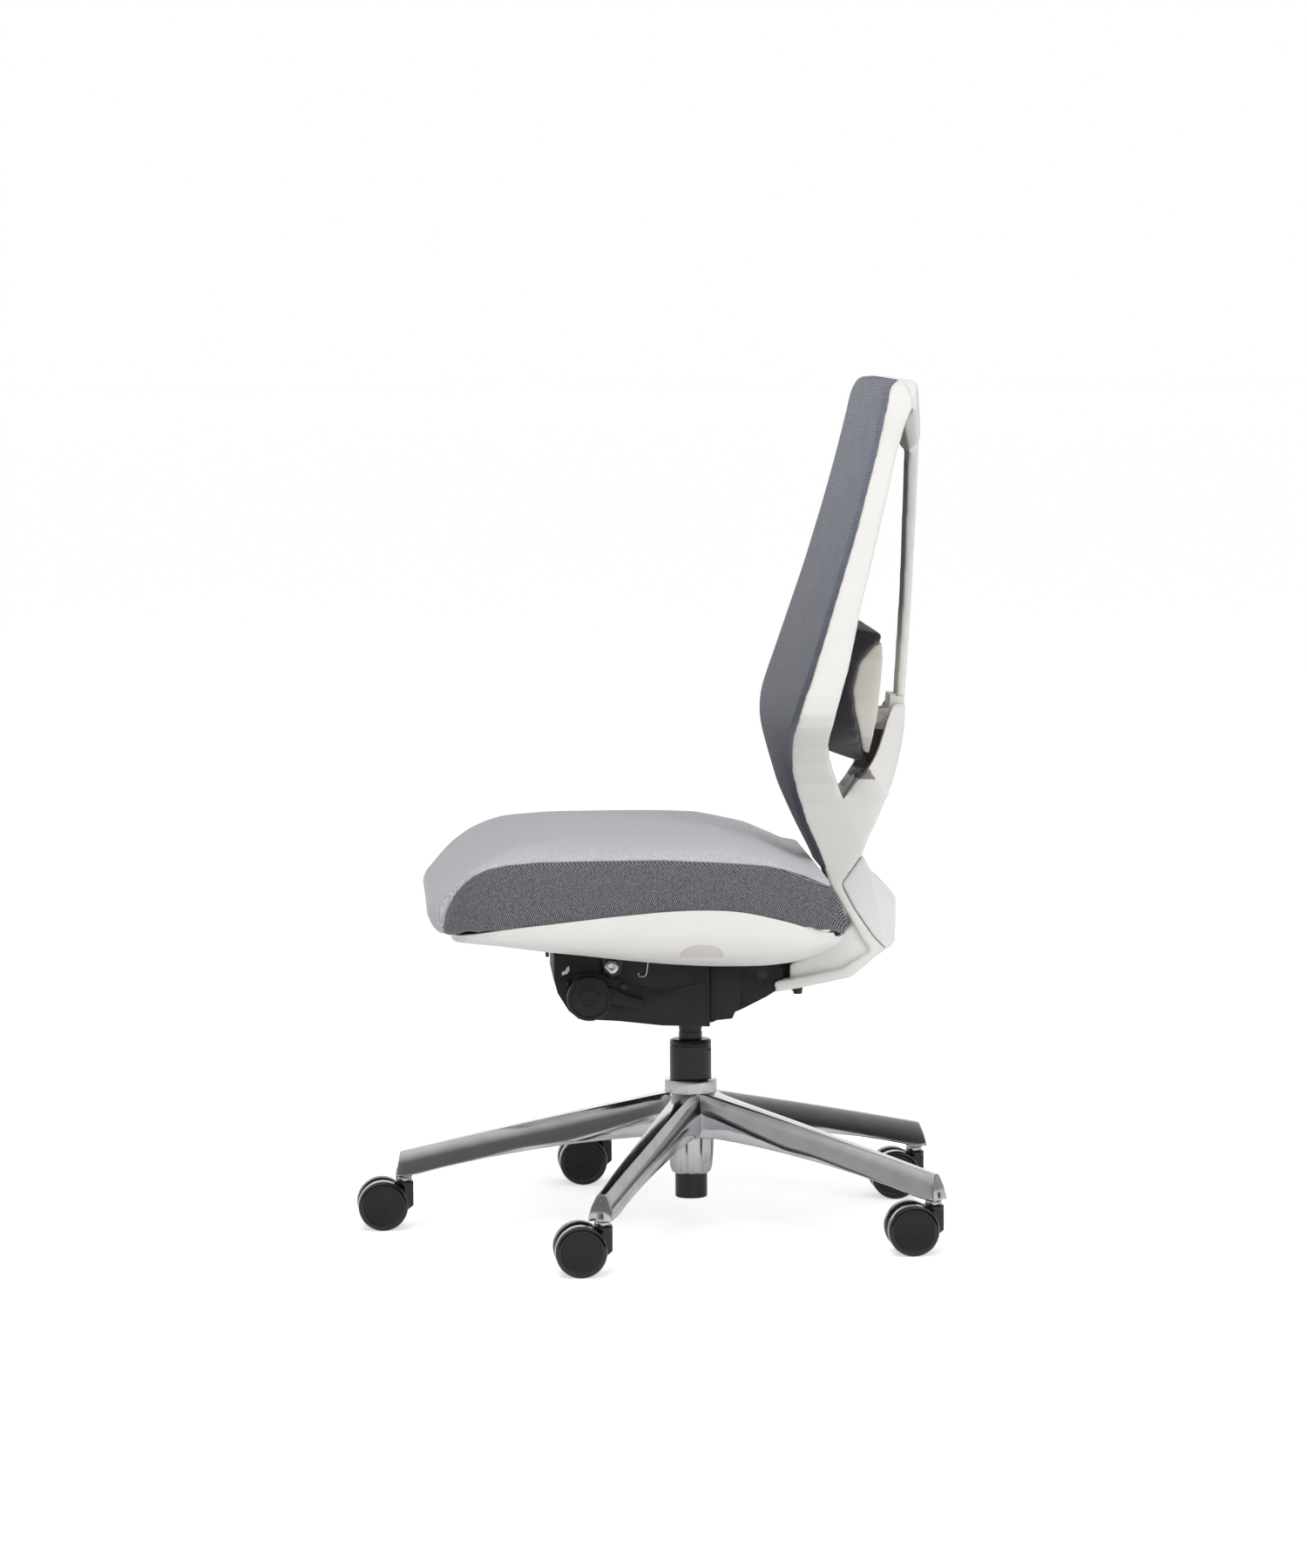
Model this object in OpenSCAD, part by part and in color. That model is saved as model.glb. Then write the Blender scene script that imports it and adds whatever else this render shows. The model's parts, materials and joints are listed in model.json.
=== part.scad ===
// Swivel office chair: five-armed base on twin-wheel casters, gas lift column, tilt mechanism,
// sliding seat and a shield-shaped back on a central spine with a lumbar pad.
// Millimetres. +Z is up, the chair faces -Y and the sitter's left hand is at +X.
// The origin lies on the floor under the column.

/* [Base] */
// Radius from the column to each caster stem
stem_radius = 346.5; // [320:0.5:360]
// Compass angle of the first arm, from +Y towards +X
base_turn = 182.64; // [0:0.01:360]
// Height of the arm's underside at the caster stem
arm_end_z = 62.8; // [60:0.1:66]
// Height of the hub's top face
hub_top_z = 180.2; // [170:0.1:190]

/* [Casters] */
// Radius of a caster wheel
wheel_r = 30; // [25:0.5:30]
// Width of one wheel of the pair
wheel_w = 19.5; // [15:0.5:20]
// Distance from the stem to the wheel axle
caster_trail = 26; // [20:0.5:28]
// Turn of every caster about its stem
caster_turn = 2; // [-20:1:20]

/* [Column] */
// Radius of the outer tube
tube_r = 25; // [25:0.5:25.5]
// Radius of the sliding pressure tube
cylinder_r = 14; // [13:0.5:14]
// Height of the outer tube's top
tube_top_z = 227.3; // [220:0.1:232]

/* [Mechanism] */
// Half width of the housing
housing_x = 72; // [68:1:74]
// Recline pivot, distance behind the column
recline_y = 85; // [80:1:88]
// Recline pivot height
recline_z = 308; // [306:1:310]
// Seat tilt pivot, distance behind the column
tilt_y = -98; // [-100:1:-94]
// Seat tilt pivot height
tilt_z = 324.5; // [322:0.5:326]
// Radius of the tension knob
knob_r = 26.5; // [24:0.5:27]

/* [Seat] */
// Half width of the seat
seat_x = 242; // [236:1:246]
// Height of the seat's crown
seat_top_z = 490; // [486:0.5:494]

/* [Back] */
// Half width of the neck and the back arm
neck_x = 46; // [42:1:48]
// Half width of the spine
spine_x = 25; // [22:1:28]
// Fall of the back panel's face from its middle to each side, in degrees
panel_crown = 6; // [5:0.5:6.5]
// Lean of the spine from vertical
spine_lean = 3.54; // [3:0.01:4]

/* [Hidden] */
$fn = 48;
fit = 0.05;             // radial clearance of a running fit
gap = 0.4;              // clearance between neighbouring bodies
far = 300;              // reach beyond the chair's half width
axle_r = 4;
stem_r = 5.5;
arm_lean = 12.4;        // lean of an arm's flank
arm_taper = 3.8;        // narrowing of an arm towards its end, per side
rod_r = 5;
shaft_r = 6;
web_x = 8;              // half thickness of a caster hood's web
cone_r = 19.25;         // radius of the column's foot in the hub
tube_bore_r = 22.6;
cylinder_top_z = 318;
release_r = 4;
lever_pivot_x = -40;    // height lever pivot, beside the column
lever_pivot_z = 327;
knob_y = -126;
knob_z = 291;
knob_shaft_r = 6;
flange_screw_at = [[-84.6, 301.4], [-150, 306]];
flange_screw_r = 2.2;
flange_neck_r = 15;
flange_x = housing_x + 20;
pan_z0 = 396;
pan_z1 = 408;
carrier_z = 350;
arm_pad_x = 140;        // armrest bolts, distance from the middle
arm_pad_y = -5;
arm_pad_pitch = 64;
arm_bolt_r = 4.2;
foot_bolt_x = [-15, 15];
foot_bolt_y = 128.5;
foot_bolt_r = 4;
spine_foot = [0, 244.4, 590];  // lowest point of the spine's front face
lumbar_pivot_y = 222;
lumbar_pivot_z = 613;
lumbar_pin_r = 4;

// Side outlines as [y, z] and front outlines as [half width, z]
frame_front = [[237, 1019], [228, 1011], [222, 1000], [217, 977], [207, 933], [195, 889],
  [183, 845], [169, 800], [155, 756], [141, 712], [126, 667], [118, 645], [113, 623],
  [111, 603], [112.5, 581], [118, 550], [124, 528], [131, 506], [139, 483], [149, 461],
  [157, 440], [161, 429.5], [164.8, 416.9]];
panel_front = [[215, 1019], [206, 1014], [201.5, 1000], [195, 973], [183, 927], [170.5, 881],
  [157, 836], [143, 790], [127, 744], [111, 698], [95, 652], [90, 629], [89.5, 606], [94, 583],
  [100, 560], [107, 536], [116.5, 513], [127, 490], [138.5, 467], [150, 444], [154, 436]];
rail_top = [[243, 1019], [248, 1009], [251.5, 998], [251, 985], [244, 971]];
rail_rear = [[232, 933], [222, 889], [211, 845],
  [200, 800], [188, 756], [184, 734], [173, 684], [166, 660], [159, 633], [157, 606],
  [157, 592], [160, 577], [167, 554], [179, 527]];
spine_rear = [[256, 1019], [264, 1012], [274, 973], [276, 950], [275, 928], [273, 882],
  [268, 790], [262.5, 699], [257, 630], [256, 607], [252.7, 584], [247, 561], [240, 539]];
neck_rear = [[204.3, 451.3], [211, 470], [222, 493], [230, 515], [236, 527]];
shield = [[150, 1019], [170, 1013], [183, 1000], [188, 978], [192, 930], [201, 850],
  [212, 760], [220, 690], [221, 655], [215, 632], [194, 616], [160, 602], [125, 586],
  [95, 566], [70, 540], [55, 512], [48, 480], [46, 455], [46, 416.9]];
window = [[142, 1006], [160, 1001], [170, 990], [175, 972], [179, 930], [188, 850],
  [199, 760], [206, 690], [207, 660], [201, 642], [182, 627], [150, 613], [115, 597],
  [85, 577], [58, 552], [20, 540]];
seat_top = [[-292.5, 375], [-303, 375.5], [-313, 386], [-319.5, 402], [-315, 420], [-302, 442],
  [-282, 462], [-256.5, 475.2], [-221, 485], [-171, 488.6], [-120, seat_top_z], [-70, 489.8],
  [-20, 487.6], [31, 483.3], [81, 470.5], [110, 459.5], [138, 444], [151, 431], [160, 415],
  [168, 399], [174, 388], [172, 380.5]];
seat_edge = [[-292.2, 378], [-237, 388], [-168, 396], [-100, 403.5], [-32, 409], [19, 409.3],
  [54, 405.6], [100, 394.6], [127, 386], [148, 380.6], [163, 378.6], [171.6, 380]];
shell_bottom = [[175, 378], [171, 367], [166, 361], [146, 346.5], [117, 334], [88, 328.5],
  [59, 327], [11, 327.5], [-38, 331], [-86, 336.5], [-125, 342], [-173, 348.5], [-230, 358],
  [-281, 363.5], [-290, 368]];
cushion_section = [[238, 372], [seat_x, 400], [seat_x, 445], [238, 461], [231, 471], [219, 479],
  [200, 485], [175, 488.5], [150, seat_top_z]];
shell_section = [[238, 412], [236, 395], [226, 373], [206, 352], [176, 335], [140, 327],
  [60, 324]];
housing_side = [[-166, 340], [-166, 311], [-162, 293], [-149, 272], [-137, 262], [-89, 259],
  [-38, 253], [19, 251], [19, 340]];
tail_side = [[19, 251.5], [24, 251.5], [37, 257], [64, 269], [90, 282], [106, 292],
  [109, 300], [109, 314], [100, 324], [19, 330]];
arm_core = [[95, 316], [99.3, 287.6], [132, 293], [190.8, 305], [221.6, 330.6], [232.5, 338.4],
  [229, 341], [215.5, 355.3], [193.4, 388.3], [179, 416.3], [166, 416.3], [189.5, 378],
  [192, 368.5], [184.5, 360.7], [168, 349], [145, 335], [120, 322.5]];
arm_rim = [[97.6, 300.4], [99.3, 287], [132, 292.5], [191, 304.4], [222, 330], [234, 338],
  [229.4, 341], [216, 355.3], [193.8, 388.3], [179.4, 416.3], [165.2, 416.3], [188.2, 378],
  [203, 351.8], [214, 336], [177.7, 315]];
cover_side = [[204.6, 450.4], [201.5, 446], [184.5, 422.6], [180.2, 416.7], [194.6, 388.6],
  [216.7, 355.8], [230, 341.4], [235.2, 338.4], [243, 346], [244.4, 372], [244.6, 398],
  [238.7, 407], [228, 418.5], [218, 425.8], [211, 438]];
cup_side = [[180, 528], [190, 541], [196, 549], [206, 563], [215, 576], [223, 594], [230.5, 612],
  [240, 630], [246, 634], [257, 630], [256, 608], [252.7, 584], [247, 561], [240, 539], [236, 528]];

lumbar_back = [[221, 710], [212, 705.5], [195, 686], [187, 655], [189.5, 629.5], [203, 578],
  [211, 574.5]];

function turned(pts) = [for (i = [len(pts) - 1 : -1 : 0]) pts[i]];
function both_sides(pts) = concat(pts, [for (p = turned(pts)) [-p[0], p[1]]]);
function shifted(pts, dy, dz) = [for (p = pts) [p[0] + dy, p[1] + dz]];
function arc(cx, cy, r, a0, a1, n = 8) =
  [for (i = [0 : n]) let (a = a0 + (a1 - a0) * i / n) [cx + r * cos(a), cy + r * sin(a)]];
// Plan outline with round corners: half width, front and rear edge, corner radii
function plan(w, y0, y1, rf, rr) = concat(
  arc(w - rf, y0 + rf, rf, -90, 0), arc(w - rr, y1 - rr, rr, 0, 90),
  arc(-w + rr, y1 - rr, rr, 90, 180), arc(-w + rf, y0 + rf, rf, 180, 270));

// A side outline drawn out across the chair, and a front outline drawn out along it
module across(pts, x0, x1)
  translate([x0, 0, 0]) rotate([90, 0, 90]) linear_extrude(x1 - x0) polygon(pts);
module along(pts, y0, y1)
  translate([0, y1, 0]) rotate([90, 0, 0]) linear_extrude(y1 - y0) polygon(pts);
module upright(pts, z0, z1) translate([0, 0, z0]) linear_extrude(z1 - z0) polygon(pts);
module pin_x(x0, x1, y, z, r) translate([x0, y, z]) rotate([0, 90, 0]) cylinder(h = x1 - x0, r = r);
module block(p, q) translate(p) cube(q - p);
module both() { children(); mirror([1, 0, 0]) children(); }
module tube_z(z0, z1, r_out, r_in) difference() {
  translate([0, 0, z0]) cylinder(h = z1 - z0, r = r_out);
  translate([0, 0, z0 - 1]) cylinder(h = z1 - z0 + 2, r = r_in);
}
module at_arm(i) rotate([0, 0, -(base_turn - 72 * (i - 1))]) translate([0, stem_radius, 0]) children();
module at_stem(i) {
  a = base_turn - 72 * (i - 1);
  translate([stem_radius * sin(a), stem_radius * cos(a), 0]) rotate([0, 0, caster_turn]) children();
}

// ---- base ----
// One arm along +Y: its side outline, narrowed by two leaning, converging flanks
module arm_flank() translate([25, 20, 112]) rotate([0, 0, arm_taper]) rotate([0, -arm_lean, 0])
  translate([-200, -100, -200]) cube([200, 600, 400]);
module base_arm() intersection() {
  across([[18, 166], [18, 110], [55, 110.5], [158, 101], [273, 81], [334, 65.5],
    [338, arm_end_z], [356, arm_end_z], [359, 70], [354, 90], [350, 92.5]], -60, 60);
  arm_flank();
  mirror([1, 0, 0]) arm_flank();
}
module star_base() color([0.82, 0.83, 0.84]) difference() {
  union() {
    rotate_extrude() polygon([[0, 65.2], [21, 65.2], [25, 71], [27.5, 112], [29, 150],
      [31.5, 157], [31.5, 176], [29.5, hub_top_z], [0, hub_top_z]]);
    for (i = [0 : 4]) rotate([0, 0, -(base_turn - 72 * i)]) base_arm();
  }
  translate([0, 0, 100]) cylinder(h = 81, r1 = 24, r2 = tube_r);
  translate([0, 0, 90]) cylinder(h = 10.01, r1 = cone_r, r2 = 24);
  translate([0, 0, 60]) cylinder(h = 31, r = cone_r);
  for (i = [1 : 5]) at_arm(i) translate([0, 0, arm_end_z - 1]) cylinder(h = 26, r = stem_r + fit);
}
module column_tube() color([0.06, 0.05, 0.06]) difference() {
  union() {
    translate([0, 0, 35.4]) cylinder(h = 55, r = cone_r);
    translate([0, 0, 90]) cylinder(h = 10, r1 = cone_r, r2 = 24);
    translate([0, 0, 100]) cylinder(h = 81, r1 = 24, r2 = tube_r);
    rotate_extrude() polygon([[0, 181], [tube_r, 181], [tube_r, tube_top_z - 7],
      [tube_r - 0.6, tube_top_z - 6.5], [tube_r - 0.6, tube_top_z - 6], [tube_r, tube_top_z - 5.5],
      [tube_r, tube_top_z - 1.5], [tube_r - 1.5, tube_top_z], [0, tube_top_z]]);
  }
  translate([0, 0, 104]) cylinder(h = 200, r = tube_bore_r);
  translate([0, 0, 46]) cylinder(h = 60, r = 17);
  translate([0, 0, 30]) cylinder(h = 12, r = 14);
  cylinder(h = 60, r = rod_r + fit);
}
module column_bush() color([0.15, 0.15, 0.16]) tube_z(128, 224, tube_bore_r, cylinder_r + fit);
module column_clip() color([0.6, 0.6, 0.62]) difference() {
  translate([0, 0, 38.6]) cylinder(h = 3.2, r = 11);
  translate([0, 0, 30]) cylinder(h = 20, r = rod_r + fit);
}
module piston_rod() color([0.75, 0.76, 0.78]) {
  translate([0, 0, 37]) cylinder(h = 245, r = rod_r);
  translate([0, 0, 282]) cylinder(h = 14, r = 11.4);
}
module thrust_bearing() color([0.7, 0.7, 0.7]) {
  tube_z(46.3, 48, 13, rod_r + fit);
  for (k = [0 : 9]) rotate([0, 0, 36 * k]) translate([9.5, 0, 49.5]) sphere(r = 1.45, $fn = 24);
  tube_z(51, 52.8, 13, rod_r + fit);
}

// ---- casters, built with the stem on the Z axis and the axle towards -Y ----
module caster_hood() difference() {
  union() {
    across(concat([[11, 28], [11, 57.5], [-11, 57.5]],
      arc(-caster_trail, wheel_r, 26.5, 60, 330, 24)), -web_x, web_x);
    translate([0, 0, 51]) intersection() {
      cylinder(h = 6.5, r = 13);
      block([-11, -4, 0], [11, 11, 6.5]);
    }
  }
  translate([0, 0, 36]) cylinder(h = 30, r = stem_r);
  pin_x(-20, 20, -caster_trail, wheel_r, axle_r);
}
module caster_pins() {
  translate([0, 0, 36]) cylinder(h = 50, r = stem_r);
  translate([0, 0, 57.5]) cylinder(h = arm_end_z - 57.5 - gap, r = 9.5);
  pin_x(-web_x - wheel_w + 3, web_x + wheel_w - 3, -caster_trail, wheel_r, axle_r);
}
module caster_wheel(side) translate([0, -caster_trail, wheel_r])
  mirror([side < 0 ? 1 : 0, 0, 0]) translate([web_x + gap + 0.2, 0, 0]) rotate([0, 90, 0])
    difference() {
      rotate_extrude() polygon(concat([[0, 0], [wheel_r - 2, 0]],
        arc(wheel_r - 2, 2, 2, -90, 0, 4), arc(wheel_r - 5, wheel_w - 5, 5, 0, 90, 6),
        [[wheel_r - 7, wheel_w], [wheel_r - 7.6, wheel_w - 0.8], [0, wheel_w - 0.8]]));
      translate([0, 0, -1]) cylinder(h = wheel_w - 1.8, r = axle_r + fit);
    }
module hood(i) color([0.05, 0.05, 0.05]) at_stem(i) caster_hood();
module pins(i) color([0.75, 0.75, 0.76]) at_stem(i) caster_pins();
module wheel(i, side) color([0.04, 0.04, 0.04]) at_stem(i) caster_wheel(side);

// ---- gas spring and height lever ----
module gas_cylinder() color([0.08, 0.07, 0.07]) difference() {
  translate([0, 0, 62]) cylinder(h = cylinder_top_z - 62, r = cylinder_r);
  translate([0, 0, 76]) cylinder(h = 224, r = 11.5);
  translate([0, 0, 50]) cylinder(h = 30, r = rod_r + fit);
  translate([0, 0, 299]) cylinder(h = 30, r = release_r + fit);
}
module release_pin() color([0.7, 0.7, 0.72])
  translate([0, 0, 305]) cylinder(h = 20, r = release_r);
module height_lever() color([0.07, 0.07, 0.07]) {
  block([lever_pivot_x - 26, -6, 325.4], [6, 6, 330.4]);
  translate([lever_pivot_x, 8, lever_pivot_z]) rotate([90, 0, 0]) cylinder(h = 16, r = 6);
  along([[-66, 330.4], [-60, 325.4], [-92, 301], [-138, 280], [-205, 274], [-205, 281],
    [-140, 287], [-96, 308]], -6, 6);
}

// ---- mechanism ----
module mechanism_housing() color([0.07, 0.07, 0.075]) difference() {
  union() {
    difference() {
      across(housing_side, -housing_x, housing_x);
      across([[-160, 350], [-160, 312], [-156, 295], [-145, 277], [-134, 268], [-88, 264.5],
        [-38, 258.5], [14, 256.5], [14, 350]], -housing_x + 5, housing_x - 5);
    }
    translate([0, 0, 252]) cylinder(h = 60, r = 20);
    both() block([16, -24, 256], [housing_x - 3, -20, 316]);
    both() across(tail_side, 26, 38);
  }
  translate([0, 0, 240]) cylinder(h = 100, r = cylinder_r);
  pin_x(-50, 50, recline_y, recline_z, shaft_r);
  pin_x(-90, 90, tilt_y, tilt_z, shaft_r + fit);
  pin_x(housing_x - 10, housing_x + 1, knob_y, knob_z, knob_shaft_r + fit);
  block([-housing_x - 1, -12, 300], [-housing_x + 6, 12, 336]);
}
module housing_lid() color([0.09, 0.09, 0.1]) block([-housing_x, -166, 340.2], [housing_x, 19, 343]);
module housing_rear_cover() color([0.08, 0.08, 0.085]) difference() {
  across([[19.4, 257], [46, 259.5], [53, 275], [56, 300], [56, 332], [19.4, 332]],
    -housing_x + 4, housing_x - 4);
  across([[18, 260], [44, 262.5], [50, 276], [53, 300], [53, 329], [18, 329]],
    -housing_x + 7, housing_x - 7);
  block([-38.4, 18, 250], [38.4, 60, 340]);
}
// One helical spring along Y, as rings of points joined into a closed tube
module coil(x, y0, y1, r, wire, turns, steps = 12, sides = 6) {
  n = turns * steps;
  points = [for (i = [0 : n]) for (k = [0 : sides - 1])
    let (a = 360 * i / steps, b = 360 * k / sides, rr = r + wire * cos(b))
      [x + rr * cos(a), y0 + (y1 - y0) * i / n + wire * sin(b), 300 + rr * sin(a)]];
  side_faces = [for (i = [0 : n - 1]) for (k = [0 : sides - 1]) let (k2 = (k + 1) % sides)
    [i * sides + k, i * sides + k2, (i + 1) * sides + k2, (i + 1) * sides + k]];
  ends = [[for (k = [sides - 1 : -1 : 0]) k], [for (k = [0 : sides - 1]) n * sides + k]];
  polyhedron(points, concat(side_faces, ends));
}
module tilt_springs() color([0.55, 0.56, 0.58]) both() coil(38, -94.4, -26.6, 13, 2.4, 6);
module spring_seat() color([0.35, 0.36, 0.38]) block([-56, -104, 283], [56, -97, 316]);
module recline_shaft() color([0.6, 0.6, 0.62]) pin_x(-38, 38, recline_y, recline_z, shaft_r);
module knob_flange() color([0.06, 0.06, 0.06]) difference() {
  union() {
    pin_x(housing_x, flange_x, knob_y, knob_z, flange_neck_r);
    hull() {
      pin_x(housing_x, housing_x + 3, flange_screw_at[0][0], flange_screw_at[0][1], 7);
      pin_x(housing_x, housing_x + 3, flange_screw_at[1][0], flange_screw_at[1][1], 9);
      pin_x(housing_x, housing_x + 3, knob_y, knob_z + 8, 18);
    }
  }
  pin_x(housing_x - 1, flange_x + 1, knob_y, knob_z, knob_shaft_r + fit);
  for (p = flange_screw_at) pin_x(housing_x - 1, housing_x + 6, p[0], p[1], flange_screw_r);
}
module flange_screws() color([0.1, 0.1, 0.1])
  for (p = flange_screw_at) {
    pin_x(housing_x, housing_x + 3, p[0], p[1], flange_screw_r);
    pin_x(housing_x + 3, housing_x + 5.5, p[0], p[1], 4);
  }
module wire_clip() color([0.8, 0.8, 0.82]) {
  x = housing_x + 1.2;
  pin_x(housing_x, housing_x + 2.2, -58, 313, 1);
  across([[-66, 312.2], [-57.5, 312.2], [-57.5, 313.8], [-66, 313.8]], x, x + 1.6);
  across([[-58.3, 313.9], [-56.7, 313.9], [-53.5, 332], [-55.1, 332]], x, x + 1.6);
}
module tension_knob() color([0.06, 0.06, 0.065]) {
  pin_x(-20, flange_x + 4, knob_y, knob_z, knob_shaft_r);
  translate([flange_x + gap, knob_y, knob_z]) rotate([0, 90, 0]) rotate_extrude()
    polygon([[0, 0], [18, 0], [19, 3], [knob_r - 1.5, 5], [knob_r, 6.5], [knob_r, 19],
      [knob_r - 1.5, 21], [knob_r - 4.5, 21], [knob_r - 6, 19.6], [11, 19.6], [9.6, 21],
      [8.2, 19.6], [0, 19.6]]);
}
module tilt_lock_lever() color([0.07, 0.07, 0.07]) difference() {
  union() {
    pin_x(housing_x + 7, housing_x + 14, knob_y, knob_z, 20);
    across([[-112, 302], [-97, 301], [-80, 291], [-61, 286], [-61, 273], [-80, 278], [-112, 284]],
      housing_x + 7, housing_x + 14);
  }
  pin_x(housing_x, housing_x + 30, knob_y, knob_z, flange_neck_r + fit);
}

// ---- seat ----
module at_armrest_bolts(z) both() for (s = [-1, 1])
  translate([arm_pad_x, arm_pad_y + s * arm_pad_pitch / 2, z]) children();
module seat_carrier() color([0.12, 0.12, 0.13]) difference() {
  union() {
    difference() {
      block([-88, -172, carrier_z], [88, 96, carrier_z + 4]);
      block([-77, -104, carrier_z - 1], [77, 62, carrier_z + 5]);
    }
    both() block([84, -172, carrier_z], [88, 96, pan_z0 - gap]);
    both() across([[-114, carrier_z + 3], [-109, 316], [-98, 312], [-87, 316], [-82, carrier_z + 3]],
      housing_x + 1, housing_x + 4);
    both() block([housing_x + 1, -114, carrier_z], [84, -82, carrier_z + 4]);
    both() block([60, -176, 337], [72, -172, carrier_z + 4]);
  }
  pin_x(-90, 90, tilt_y, tilt_z, shaft_r);
}
module tilt_bolts() color([0.78, 0.78, 0.78]) both() {
  pin_x(housing_x - 5, housing_x + 5, tilt_y, tilt_z, shaft_r);
  pin_x(housing_x + 4.2, housing_x + 6, tilt_y, tilt_z, 8);
  difference() {
    pin_x(housing_x + 5.9, housing_x + 11, tilt_y, tilt_z, 6.6);
    translate([housing_x + 8, tilt_y, tilt_z]) rotate([0, 90, 0]) cylinder(h = 5, r = 3.2, $fn = 6);
  }
}
module seat_pan() color([0.1, 0.1, 0.11]) difference() {
  union() {
    upright(plan(222, -262, 142, 55, 50), pan_z0, pan_z1);
    both() block([89, -160, pan_z0 - 34], [93, 84, pan_z0]);
    at_armrest_bolts(344) cylinder(h = pan_z0 - 344, r = 9);
  }
  at_armrest_bolts(330) cylinder(h = 72, r = arm_bolt_r);
}
module shell_body() intersection() {
  across(concat(shifted(seat_edge, 0, -gap), shell_bottom), -far, far);
  along(both_sides(shell_section), -400, 300);
}
module seat_shell() color([0.93, 0.92, 0.89]) difference() {
  intersection() {
    shell_body();
    upright(plan(238, -291, 174, 70, 55), 300, 450);
  }
  intersection() {
    across([[-280, 379], [-237, 371], [-201, 361], [-167, 354.5], [-98, 345], [-47, 338],
      [5, 333.3], [40, 332.6], [84, 334.2], [122, 342], [146, 354], [163, 372], [163, 430],
      [-280, 430]], -far, far);
    along(both_sides([[234, 420], [231.5, 396], [222, 376], [203, 356.5], [175, 340],
      [140, 332.5], [60, 329.5]]), -400, 300);
    upright(plan(234, -287, 168, 66, 51), 300, 450);
  }
  block([-100, -190, 320], [100, 180, 384]);
  at_armrest_bolts(320) cylinder(h = 30, r = 9.3);
  both() block([196, -24.4, 353.2], [230, 26.4, 370.4]);
}
module slot_covers() color([0.86, 0.84, 0.8]) both() intersection() {
  difference() {
    along([[176, 335], [206, 352], [226, 373], [150, 373]], -400, 300);
    along([[170, 336], [203, 355], [223, 376], [150, 376]], -400, 300);
  }
  block([196, -24, 353.6], [230, 26, 370]);
}
module seat_cushion() color([0.55, 0.55, 0.58]) difference() {
  intersection() {
    across(concat(turned(seat_edge), seat_top), -far, far);
    along(both_sides(cushion_section), -400, 300);
    upright(plan(seat_x, -321.5, 174.5, 85, 50), 300, 550);
  }
  block([-228, -270, 300], [228, 146, pan_z1 + 0.3]);
}

// ---- back ----
module back_bracket() color([0.1, 0.1, 0.105]) difference() {
  union() {
    pin_x(-25.3, 25.3, recline_y, recline_z, 14);
    across([[86, 295], [180, 318], [186, 326], [180, 336], [120, 319.5], [84, 321]], -25.3, 25.3);
  }
  pin_x(-30, 30, recline_y, recline_z, shaft_r + fit);
  for (x = foot_bolt_x) translate([x, foot_bolt_y, 280]) cylinder(h = 60, r = foot_bolt_r);
}
module back_arm() color([0.92, 0.91, 0.88]) difference() {
  union() {
    across(arm_core, -neck_x + 7, neck_x - 7);
    both() across(arm_rim, neck_x - 9, neck_x);
  }
  block([-38.5, 90, 280], [38.5, 118, 330]);
  across([[110, 300.5], [181, 317.5], [187, 326], [181, 337], [120, 320.4], [110, 321]], -25.6, 25.6);
  for (x = foot_bolt_x) translate([x, foot_bolt_y, 280]) cylinder(h = 40, r = foot_bolt_r);
}
module arm_bolts() color([0.08, 0.08, 0.08]) for (x = foot_bolt_x) {
  translate([x, foot_bolt_y, 288]) cylinder(h = 30, r = foot_bolt_r);
  translate([x, foot_bolt_y, 281.8]) cylinder(h = 10, r1 = 5.2, r2 = 6.4);
}
module rear_cover() color([0.95, 0.95, 0.94]) across(cover_side, -neck_x - 1, neck_x + 1);
module back_frame() color([0.93, 0.92, 0.89]) intersection() {
  across(concat(frame_front, [[179.6, 416.9]], neck_rear, turned(rail_rear), turned(rail_top)), -far, far);
  difference() {
    along(both_sides(shield), 50, 400);
    along(both_sides(window), 40, 410);
  }
}
module back_spine() color([0.93, 0.92, 0.89]) difference() {
  union() {
    across(concat(spine_rear, [[236.4, 528], [229, 548], [238, 572], [244.4, 590], [256, 768],
      [262, 932]], turned(shifted(rail_top, gap, 0))), -spine_x, spine_x);
    intersection() {
      across(concat(shifted(rail_top, gap, 0), [[262, 932], [276, 950], [274, 973], [264, 1012],
        [256, 1019]]), -far, far);
      upright([[185, 200], [185, 256], [25, 277], [-25, 277], [-185, 256], [-185, 200]], 900, 1020);
      along(both_sides([[140, 1019], [165, 1005], [168, 985], [24, 925]]), 50, 400);
    }
  }
  translate(spine_foot) rotate([-spine_lean, 0, 0]) block([-15, -10, -5], [15, 7, 330]);
}
module back_cup() color([0.93, 0.92, 0.89]) difference() {
  intersection() {
    across(cup_side, -far, far);
    along(both_sides([[150, 640], [118, 590], [70, 544], [45, 527]]), 50, 400);
    upright([[118, 170], [118, 184], [42, 252], [42, 262], [-42, 262], [-42, 252], [-118, 184],
      [-118, 170]], 500, 660);
  }
  upright([[104, 150], [104, 184], [30, 245], [-30, 245], [-104, 184], [-104, 150]], 548, 660);
  block([-spine_x - 0.3, 210, 500], [spine_x + 0.3, 300, 700]);
  block([-spine_x - 5, 210, 575], [spine_x + 5, 300, 700]);
}
module back_board() color([0.2, 0.2, 0.22]) intersection() {
  across(concat(shifted(frame_front, 0.3, 0), turned(shifted(frame_front, 4, 0))), -far, far);
  along(both_sides([for (p = window) [p[0] - 0.4, p[1] > 1000 ? p[1] - 0.4 : p[1] + 0.4]]), 50, 400);
}
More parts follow.
